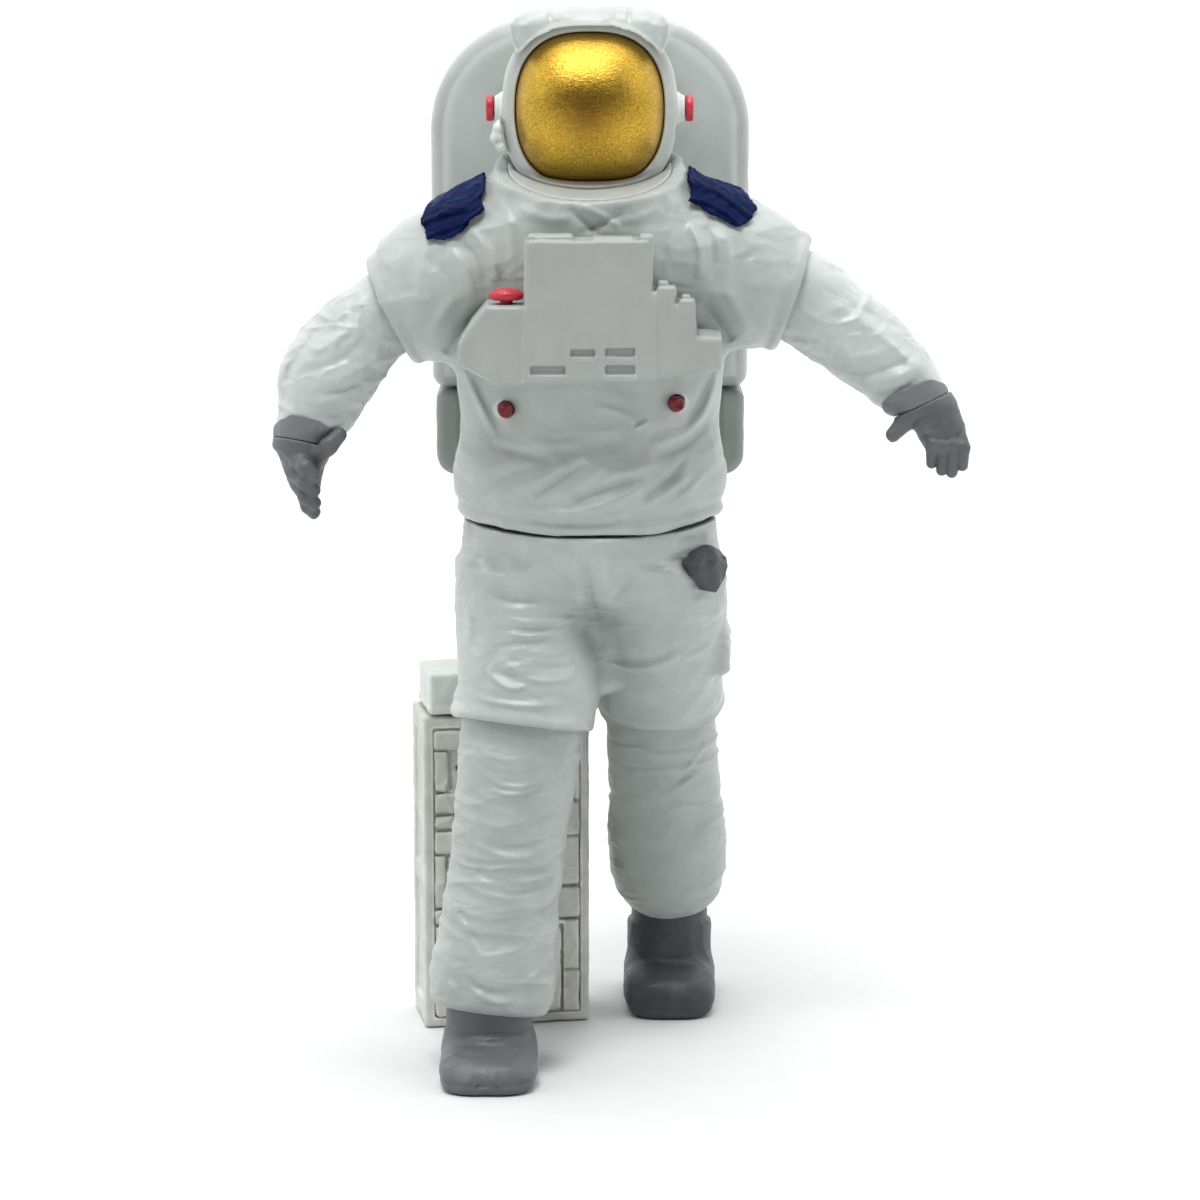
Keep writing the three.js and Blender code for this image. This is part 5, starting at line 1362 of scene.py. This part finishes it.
LEG_SHAPE = {"right": [(5, 5.9, 5.9), (12, 5.6, 5.7), (20, 5.85, 5.8), (25.5, 6.25, 6.0)],
             "left": [(5, 5.6, 5.8), (11, 5.7, 5.8), (17, 6.1, 6.2), (21.5, 5.9, 6.0)]}
HEM = {"right": (5.7, 5.5), "left": (5.1, 5.3)}
BOOT = {"right": {"shaft": 4.3, "up": 1.5, "clear": 1.2, "instep": 0.72, "shift": 0.0},
        "left": {"shaft": 4.0, "up": 3.4, "clear": 2.8, "instep": 1.0, "shift": 1.4}}
SHIN = {}
for side, cuff in CUFF.items():
    top, length = LEG_TOP[side], LEG_LENGTH[side]
    SHIN[side] = Limb(
        [(cuff.out(GAP - SOCKET_DEPTH), top, top), (cuff.out(0.7), top, top)]
        + [(cuff.out(t), across, depth) for t, across, depth in LEG_SHAPE[side]]
        + [(cuff.out(length), *HEM[side])])
SHIN_FOLDS = {
    "right": Folds([
        ((-11.4, 32.8), (-8.4, 31.9), (-4.0, 32.3), 0.30, 0.20),
        ((-11.8, 31.6), (-7.6, 30.4), (-2.6, 31.4), 0.30, -0.16),
        ((-10.6, 30.4), (-7.4, 29.2), (-3.4, 30.2), 0.28, 0.22),
        ((-9.8, 28.9), (-7.4, 28.5), (-4.6, 29.0), 0.24, 0.24),
        ((-12.2, 28.6), (-9.2, 27.4), (-5.8, 27.8), 0.32, -0.16),
        ((-12.6, 26.2), (-8.8, 25.4), (-3.4, 26.6), 0.34, 0.16),
        ((-9.8, 23.5), (-6.8, 23.2), (-2.8, 24.0), 0.34, -0.22),
        ((-12.2, 24.2), (-9.2, 22.6), (-5.2, 22.4), 0.34, 0.22),
        ((-13.2, 22.8), (-10.6, 20.6), (-7.0, 19.6), 0.34, -0.16),
        ((-13.4, 20.4), (-10.2, 18.7), (-6.2, 18.7), 0.32, 0.18),
        ((-8.2, 18.9), (-5.6, 18.8), (-3.0, 20.2), 0.30, -0.18),
        ((-14.0, 18.0), (-12.4, 15.6), (-11.4, 13.2), 0.40, 0.26),
        ((-13.0, 17.4), (-11.6, 15.0), (-10.4, 13.4), 0.34, -0.20),
        ((-5.6, 13.6), (-4.4, 15.2), (-3.4, 17.4), 0.40, -0.20),
        ((-6.4, 12.6), (-5.0, 13.8), (-3.9, 15.8), 0.34, 0.18),
        ((-12.8, 11.4), (-10.4, 9.6), (-7.6, 9.3), 0.34, -0.26),
        ((-12.4, 10.4), (-9.8, 8.6), (-6.8, 8.5), 0.30, 0.24),
        ((-14.8, 11.6), (-13.8, 9.8), (-12.4, 8.8), 0.36, 0.18),
        ((-6.8, 10.0), (-5.4, 10.6), (-4.4, 11.8), 0.32, 0.18),
    ], front=-4.0, strength=0.8),
    "left": Folds([
        ((9.6, 27.4), (11.0, 29.2), (12.8, 31.6), 0.34, 0.20),
        ((8.4, 26.2), (10.4, 27.8), (12.9, 29.8), 0.32, -0.24),
        ((7.4, 24.9), (10.0, 26.4), (13.0, 28.6), 0.32, 0.26),
        ((7.2, 23.7), (9.8, 25.0), (12.9, 26.9), 0.30, -0.24),
        ((7.6, 22.8), (9.8, 23.8), (12.8, 25.6), 0.30, 0.22),
        ((8.2, 21.6), (10.2, 22.4), (12.6, 24.0), 0.30, -0.18),
        ((4.4, 18.6), (7.0, 17.9), (11.6, 19.6), 0.34, -0.24),
        ((4.0, 17.4), (7.2, 16.9), (11.8, 18.4), 0.36, 0.18),
        ((9.2, 12.8), (10.8, 15.0), (12.4, 18.0), 0.34, 0.24),
        ((8.2, 12.2), (9.8, 14.6), (11.6, 17.4), 0.34, -0.20),
        ((10.4, 12.4), (11.8, 14.2), (13.0, 16.6), 0.34, -0.16),
        ((2.6, 20.6), (4.2, 19.6), (6.2, 19.6), 0.40, 0.16),
        ((3.0, 14.8), (5.4, 13.6), (8.2, 13.4), 0.40, 0.14),
        ((2.0, 24.4), (3.4, 22.8), (5.4, 22.2), 0.34, -0.14),
    ], front=5.0, strength=0.8),
}


def lower_leg(side):
    cuff, ankle, limb = CUFF[side], ANKLE[side], SHIN[side]
    shaft, up = BOOT[side]["shaft"], BOOT[side]["up"]

    def field(p):
        wall, s = limb.wall(p)
        relief = 0.15 * crumple(p, 81, 2.6, (2.1, 2.1, 0.65)) + 0.06 * crumple(p, 83, 1.1, (2.2, 2.2, 0.6))
        fade = ramp(s, 1.2, 3.0)
        d = wall - fade * (relief + SHIN_FOLDS[side](p)) - 0.10 * bell(limb.length - s - 1.4, 0.6)
        d = smax(d, limb.ends(p), 0.9)
        d = np.maximum(d, -peg_hole(p, cuff, "knee", -3, 5))
        d = smax(d, -rod(p, ankle, shaft + GAP, -up - GAP, 5), 0.15)
        d = np.maximum(d, -peg_hole(p, ankle, "ankle", -5.5 - up, 2))
        if side == "right":
            d = np.maximum(d, -peg_hole(p, CASE_PEG, "case", 0, 9.5))
        return d
    return field


for side in CUFF:
    path = SHIN[side].centre
    plan(f"{side}_suit_leg", lower_leg(side), path.min(axis=0) - (7, 7.2, 2.6), path.max(axis=0) + (7, 7.2, 2.6),
         f"{side}_leg", [f"{side}_lower_leg"], "suit_white", LEG_TONE_AND_SHADE, 0.18)
    plan_peg(f"{side}_knee_pin", f"{side}_knee_peg", f"{side}_leg", CUFF[side], "knee", -5.7, 4.7)

# ------------------------------------------------------------------ boots

# Boot stations from toe to heel: Y from the ankle, half width, height over the sole.
BOOT_SHAPE = np.array([(-9.4, 3.0, 2.8), (-8.4, 4.1, 3.7), (-6.4, 4.75, 4.7), (-3.4, 4.75, 5.6), (0, 4.6, 6.2),
                       (3.2, 4.5, 6.0), (5.2, 4.1, 5.0), (6.4, 3.2, 3.8)])
BOOT_FOLDS = {
    "right": Folds([
        ((-14.4, -11.6, 4.9), (-10.4, -13.0, 4.2), (-6.4, -11.6, 4.8), 0.45, -0.22),
        ((-14.6, -10.4, 5.6), (-10.4, -12.0, 5.0), (-6.2, -10.4, 5.6), 0.40, 0.20),
        ((-14.2, -14.6, 3.2), (-12.6, -16.2, 3.4), (-11.2, -16.8, 3.6), 0.45, 0.16),
        ((-8.6, -16.4, 3.6), (-7.4, -15.2, 3.4), (-6.4, -13.6, 3.2), 0.45, -0.14),
    ]),
    "left": Folds([
        ((4.2, 12.4, 8.4), (8.4, 11.4, 7.6), (12.4, 12.4, 8.4), 0.50, -0.20),
        ((4.4, 12.2, 9.8), (8.4, 11.4, 9.2), (12.2, 12.2, 9.8), 0.45, 0.18),
        ((10.4, 10.6, 4.8), (12.2, 11.6, 6.2), (12.8, 13.6, 7.6), 0.45, 0.22),
        ((8.0, 8.8, 4.4), (9.6, 9.6, 5.6), (11.6, 11.0, 6.4), 0.40, -0.14),
        ((5.2, 10.0, 4.2), (6.6, 9.2, 4.8), (8.0, 9.0, 5.2), 0.40, 0.14),
    ]),
}


def boot(side):
    shape, ankle = BOOT[side], ANKLE[side]
    shaft, up, clear = shape["shaft"], shape["up"], shape["clear"]
    x0, y0 = ankle.at[:2]

    def field(p):
        out = (p - ankle.at) @ ankle.along
        y = p[:, 1] - y0 - shape["shift"]
        half, tall = smooth_curve(np.clip(y, -9.4, 6.4), BOOT_SHAPE[:, 0], BOOT_SHAPE[:, 1:]).T
        tall = shape["instep"] * tall
        wall = superellipse(p[:, 0] - x0, p[:, 2] - (tall - 0.6) / 2, half, (tall + 0.6) / 2, SQUARED)
        d = smax(wall, np.maximum(-9.4 - y, y - 6.4), 1.6)
        q = p - (x0, y0 + 0.3 * shape["shift"], 0)
        low_shaft = np.hypot(q[:, 0] / 4.42, q[:, 1] / (shaft + 0.3)) - 1
        low_shaft = smax(low_shaft * 4.4, np.maximum(clear + 0.3 - out, 1.2 - p[:, 2]), 0.5)
        d = smin(d, low_shaft, 0.9)
        d = d - BOOT_FOLDS[side](p) * ramp(out, clear, clear + 0.8)
        d = d - 0.07 * crumple(p, 91, 2.2) * ramp(p[:, 2], 0.2, 1.2)
        # welt just over the sole
        d = d + 0.10 * bell(p[:, 2] - 1.0, 0.16) - 0.06 * bell(p[:, 2] - 0.5, 0.3)
        d = smin(d, rod(p, ankle, shaft, -up, clear + 1.0, 0.25), 0.12)
        d = smax(d, -p[:, 2], 0.12)
        return np.maximum(d, -peg_hole(p, ankle, "ankle", -up - 1, 3.5))
    return field


for side, ankle in ANKLE.items():
    shift = BOOT[side]["shift"]
    top = ankle.at[2] + BOOT[side]["up"]
    # the rear boot takes the darker copy of the glove paint, as painted shade
    plan(f"{side}_boot_shoe", boot(side), ankle.at + (-5.4, -10.2 + shift, -ankle.at[2]),
         (ankle.at[0] + 5.4, ankle.at[1] + 7.4 + shift, top), f"{side}_foot", [f"{side}_boot"], "glove_grey",
         GLOVE if side == "right" else DARK_GREY_AND_BOOT_SHADE, 0.15)
    plan_peg(f"{side}_ankle_pin", f"{side}_ankle_peg", f"{side}_foot", ankle, "ankle",
             -5.2 - BOOT[side]["up"], 3.2)

# ------------------------------------------------------------------ backpack

PACK_FRONT, PACK_BACK = 8.6, 20.2
PACK_HALF, PACK_BOTTOM, PACK_TOP = 16.0, 66.0, 103.1


def pack_outline(p, inset):
    """The backpack's front view: an arch with wide top corners and small lower ones."""
    z = p[:, 2] - (PACK_BOTTOM + PACK_TOP) / 2
    radius = np.where(z > 0, 11.0, 1.4)
    return rounded_rectangle(p[:, 0], z, PACK_HALF, (PACK_TOP - PACK_BOTTOM) / 2, radius) + inset


def helmet_bay(p):
    return np.maximum(np.hypot(p[:, 0], p[:, 1] - HELMET[1]) - 9.6, 84 - p[:, 2])


PANEL_FRONT = 9.3  # the panel stiffens the backpack's front from behind


def pack_skin(p):
    """The backpack's front, rounded broadly towards its sides."""
    return smax(pack_outline(p, 0.02), PACK_FRONT + 0.04 - p[:, 1], 2.6) - 0.06 * crumple(p, 101, 5.5)


def pack_shell(p):
    y, z = p[:, 1], p[:, 2]
    d = smax(pack_skin(p), y - PACK_BACK + 0.08, 1.8)
    # a seam round the sides, and a shallow frame on the back
    d = d + 0.16 * bell(y - 14.6, 0.22)
    d = d + 0.22 * ramp(-pack_outline(p, 3.2), 0, 0.4) * ramp(y - 19.0, 0, 0.6)
    rows = sum(bell(z - row, 0.2) for row in (74.0, 86.0))
    d = d + 0.12 * rows * ramp(y - 19.0, 0, 0.6) * ramp(-pack_outline(p, 3.4), 0, 0.3)
    tray = np.maximum(pack_outline(p, 1.6), np.maximum(PANEL_FRONT - 0.05 - y, y - PACK_BACK + 1.6))
    for peg in BACK_PEGS.values():
        tray = np.minimum(tray, peg_hole(p, peg, "back", 7, 14))
    return smax(np.maximum(d, -tray), -helmet_bay(p), 0.3)


def pack_panel(p):
    d = smax(pack_outline(p, 1.66), np.maximum(PANEL_FRONT - p[:, 1], p[:, 1] - 10.6), 0.15)
    for peg in BACK_PEGS.values():
        d = np.maximum(d, -peg_hole(p, peg, "back", 7, 14))
    return smax(d, -helmet_bay(p), 0.3)


def oxygen_pack(p):
    x, z = np.abs(p[:, 0]), p[:, 2]
    outline = rounded_rectangle(x, z - 61.35, 15.65, 4.33, np.where(z > 61.3, 0.8, 2.2))
    d = smax(outline, np.maximum(9.42 - p[:, 1], p[:, 1] - 19.18), 0.9)
    d = d + 0.14 * bell(np.abs(p[:, 1] - 14.3) - 1.4, 0.2)
    d = d + 0.12 * bell(x - 13.2, 0.2) * ramp(10.6 - p[:, 1], 0, 0.6)
    return d - 0.04 * crumple(p, 107, 3.0)


plan("pack_shell", pack_shell, (-16.1, 8.5, 65.9), (16.1, 20.3, 103.2), "backpack", ["backpack_shell"], "suit_white",
     SUIT, 0.22)
plan("pack_panel", pack_panel, (-14.4, 8.5, 67.4), (14.4, 10.9, 101.5), "backpack", ["backpack_front_panel"],
     "hard_white", SHELL, 0.2)
plan("lower_pack", oxygen_pack, (-15.8, 9.3, 56.9), (15.8, 19.3, 65.8), "backpack", ["oxygen_pack"], "suit_white",
     SHADED_LOWER_PACK, 0.2)
for number, peg in BACK_PEGS.items():
    plan_peg(f"pack_pin_{number}", f"backpack_peg_{number}", "backpack", peg, "back", 4.4, 13.0)

# ------------------------------------------------------------------ equipment case


def case_frame(p):
    """Points in the case's own frame: X across its front, Y to its back, Z up."""
    q = p - CASE_CORNER
    return np.stack([q @ CASE_ALONG, q @ CASE_BACK, q[:, 2]], axis=1)


def case_bounds(lo, hi):
    corners = np.array([[x, y, z] for x in (lo[0], hi[0]) for y in (lo[1], hi[1]) for z in (lo[2], hi[2])])
    placed = CASE_CORNER + corners[:, :1] * CASE_ALONG + corners[:, 1:2] * CASE_BACK + corners[:, 2:] * UP
    return placed.min(axis=0), placed.max(axis=0)


SHELL_TOP = CASE_HEIGHT - 4.5


def case_shell(p):
    q = case_frame(p)
    x, y, z = q.T
    d = rounded_box(q, (0.03, 0.03, 0.0), (CASE_WIDTH - 0.03, CASE_DEPTH - 0.03, SHELL_TOP), 0.35)
    # ribs and sunk panels on the sides and back
    side = np.minimum(x, CASE_WIDTH - x)
    panels = np.minimum(*[rounded_box(q, (-1, 1.6, low), (CASE_WIDTH + 1, 7.4, high), 0.4)
                          for low, high in ((2.2, 14.6), (16.4, 30.6))])
    d = d + 0.25 * ramp(-panels, 0, 0.3) * ramp(0.8 - side, 0, 0.5)
    back = np.minimum(*[rounded_box(q, (2.0, 5, low), (CASE_WIDTH - 2.0, 12, high), 0.4)
                        for low, high in ((2.4, 14.4), (16.6, 30.4))])
    d = d + 0.3 * ramp(-back, 0, 0.3) * ramp(y - 8.0, 0, 0.5)
    d = d - 0.05 * crumple(p, 111, 1.8)
    d = smax(d, -rounded_box(q, (1.0, -2, 1.0), (CASE_WIDTH - 1.0, 1.6, SHELL_TOP - 1.2), 0.1), 0.1)
    d = smax(d, -z, 0.1)
    return np.maximum(d, -peg_hole(p, CASE_PEG, "case", -6, 1))


# Blocks on the case's front: lowest and highest (across, height), and how far each stands out of the panel.
CASE_BLOCKS = [
    ((1.1, 29.3), (12.2, 31.2), 0.6), ((1.1, 24.9), (2.5, 29.1), 0.55), ((1.1, 22.6), (4.3, 24.7), 0.6),
    ((1.1, 20.9), (4.0, 22.4), 0.4), ((1.1, 18.4), (4.3, 20.7), 0.55), ((1.1, 12.6), (2.2, 18.2), 0.4),
    ((2.4, 12.6), (3.4, 18.2), 0.3), ((1.1, 10.9), (3.8, 12.4), 0.6), ((1.1, 5.6), (3.6, 10.7), 0.45),
    ((1.1, 1.1), (3.9, 5.4), 0.6),
    ((13.0, 23.6), (13.5, 30.8), 0.3), ((14.4, 23.6), (15.1, 31.2), 0.45), ((15.6, 23.6), (16.1, 31.2), 0.55),
    ((12.4, 19.9), (16.1, 23.4), 0.6), ((12.2, 14.6), (16.1, 19.7), 0.4), ((12.4, 11.2), (16.1, 14.3), 0.65),
    ((13.7, 5.6), (16.1, 10.9), 0.45), ((13.7, 1.1), (16.1, 5.4), 0.6),
    ((4.6, 11.4), (12.0, 15.2), 0.5), ((4.6, 15.4), (12.0, 24.6), 0.4), ((4.6, 24.9), (12.0, 29.1), 0.55),
]
PANEL_Y = 0.42


def case_panel(p):
    q = case_frame(p)
    x, y, z = q.T
    d = rounded_box(q, (1.04, PANEL_Y, 1.04), (CASE_WIDTH - 1.04, 1.3, SHELL_TOP - 1.24), 0.05)
    deep = np.minimum(rounded_box(q, (2.6, -1, 24.9), (4.5, 1.1, 29.1), 0.1),
                      rounded_box(q, (12.4, -1, 23.6), (16.0, 1.1, 31.0), 0.1))
    d = np.maximum(d, -deep)
    for (x0, z0), (x1, z1), proud in CASE_BLOCKS:
        d = smin(d, rounded_box(q, (x0, PANEL_Y - proud, z0), (x1, 1.25, z1), 0.34), 0.1)
    d = d + 0.5 * bell(x - 13.1, 0.28) * ramp(z, 1.6, 2.2) * ramp(10.6 - z, 0, 0.5)
    d = d - 0.10 * crumple(p, 113, 1.5)
    d = np.maximum(d, y - 1.3)
    pouch = rounded_box(q, (3.9, -2, 1.0), (CASE_WIDTH - 2.8, 0.4, 10.5), 0.1)
    return np.maximum(np.maximum(d, -pouch), -peg_hole(p, CASE_PEG, "case", -6, 1))


def case_lid(p):
    q = case_frame(p)
    z = q[:, 2]
    d = rounded_box(q, (0.65, -0.15, 33.03), (CASE_WIDTH - 0.25, CASE_DEPTH - 0.45, CASE_HEIGHT - 0.03), 0.4)
    d = d - 0.12 * bell(z - 33.4, 0.3) + 0.08 * bell(z - 34.1, 0.3)
    outside = rounded_box(q, (0.5, -0.25, 33.0), (17.05, 8.65, 37.25), 0.3)
    return np.maximum(d - 0.07 * crumple(p, 117, 3.2), outside)


def case_pouch(p):
    q = case_frame(p)
    x, y, z = q.T
    d = rounded_box(q, (4.25, -0.95, 1.45), (CASE_WIDTH - 3.15, 0.05, 10.15), 0.4)
    d = d + 0.15 * bell(z - 7.6, 0.2) + 0.12 * bell(x - 9.2, 0.2) * (z < 7.4)
    return d - 0.06 * crumple(p, 119, 1.6)


for name, node, field, lo, hi, slot, material, step in (
        ("case_body", "case_shell", case_shell, (0, 0, 0), (17.2, 9.0, 32.8), "case_grey", CASE, 0.17),
        ("case_front", "case_front_panel", case_panel, (1.2, -0.4, 1.2), (16.0, 1.4, 31.4), "case_grey", CASE, 0.13),
        ("case_cover", "case_lid", case_lid, (0.4, -0.4, 32.9), (17.2, 8.8, 37.3), "suit_white", LID_PAINTED_LIT, 0.16),
        ("case_pocket", "case_pouch", case_pouch, (4.0, -1.2, 1.2), (14.3, 0.2, 10.4), "case_grey", CASE, 0.14)):
    plan(name, field, *case_bounds(lo, hi), "case", [node], slot, material, step)
plan_peg("case_pin", "case_peg", "case", CASE_PEG, "case", -5.6, 8.9)

# ------------------------------------------------------------------ STAGE: camera, light, floor


def camera():
    """Front view from 380 mm away, 10 degrees up, level with the middle of the figure."""
    distance, elevation = 0.380, math.radians(10)
    target = Vector((1.0 + ROW_SHIFT[0], ROW_SHIFT[1], 45.8)) / 1000
    data = bpy.data.cameras.new("camera")
    data.sensor_width = 36
    data.lens = 36 * 3800 / 1200
    data.clip_start = 0.01
    obj = bpy.data.objects.new("camera", data)
    obj.location = target + distance * Vector((0, -math.cos(elevation), math.sin(elevation)))
    obj.rotation_euler = (target - obj.location).to_track_quat("-Z", "Y").to_euler()
    bpy.context.scene.collection.objects.link(obj)
    bpy.context.scene.camera = obj


def sun(name, direction, strength, spread):
    """Even light over the whole floor, from a wide soft source in the given direction."""
    data = bpy.data.lights.new(name, "SUN")
    data.energy = strength
    data.angle = math.radians(spread)
    obj = bpy.data.objects.new(name, data)
    obj.location = Vector(direction) * 0.5
    obj.rotation_euler = Vector(direction).to_track_quat("Z", "Y").to_euler()
    bpy.context.scene.collection.objects.link(obj)


# How bright the surroundings are, from the direction in front of the figure (0) round to the back (1).
SURROUNDINGS = [(0.0, 0.01), (0.04, 0.02), (0.13, 0.14), (0.46, 0.48), (0.64, 1.35)]


def studio():
    """Soft light from above and behind, dark in front, as in a white tent with a dark opening for the camera."""
    scene = bpy.context.scene
    scene.view_settings.view_transform = "Standard"
    world = bpy.data.worlds.new("studio")
    world.use_nodes = True
    tree = world.node_tree
    direction = tree.nodes.new("ShaderNodeTexCoord").outputs["Generated"]
    split = tree.nodes.new("ShaderNodeSeparateXYZ")
    place = tree.nodes.new("ShaderNodeMapRange")
    place.inputs["From Min"].default_value = -1.0
    level = tree.nodes.new("ShaderNodeValToRGB")
    while len(level.color_ramp.elements) < len(SURROUNDINGS):
        level.color_ramp.elements.new(0.5)
    for element, (position, value) in zip(level.color_ramp.elements, SURROUNDINGS):
        element.position = position
        element.color = (0.97 * value, value, 0.99 * value, 1)
    tree.links.new(direction, split.inputs["Vector"])
    tree.links.new(split.outputs["Y"], place.inputs["Value"])
    tree.links.new(place.outputs["Result"], level.inputs["Fac"])
    tree.links.new(level.outputs["Color"], tree.nodes["Background"].inputs["Color"])
    scene.world = world
    sun("key", (-0.10, -0.36, 0.93), 1.85, 24)
    sun("top", (0.05, 0.15, 1.0), 1.1, 60)
    for side in (-1, 1):
        sun("side", (0.80 * side, -0.25, 0.55), 0.5, 40)


def floor():
    size = 40.0
    mesh = bpy.data.meshes.new("floor")
    mesh.from_pydata([(-size, -size, 0), (size, -size, 0), (size, size, 0), (-size, size, 0)], [], [(0, 1, 2, 3)])
    n = Nodes("floor_paper")
    tint = n.ramp(n.noise(300, 2), [(0.3, (0.63, 0.635, 0.635)), (0.7, (0.65, 0.655, 0.655))])
    rough = n.ramp(n.noise(800, 2), [(0.3, 0.8), (0.7, 0.9)])
    mesh.materials.append(n.finish(tint, rough, n.bump(n.noise(2000, 2), 0.1, 0.0001)))
    obj = bpy.data.objects.new("floor", mesh)
    obj.location.z = -0.0001
    bpy.context.scene.collection.objects.link(obj)


camera()
studio()
floor()

with ThreadPoolExecutor(4) as pool:
    for piece, arrays in zip(PIECES, pool.map(sculpt, PIECES)):
        place(piece, arrays)
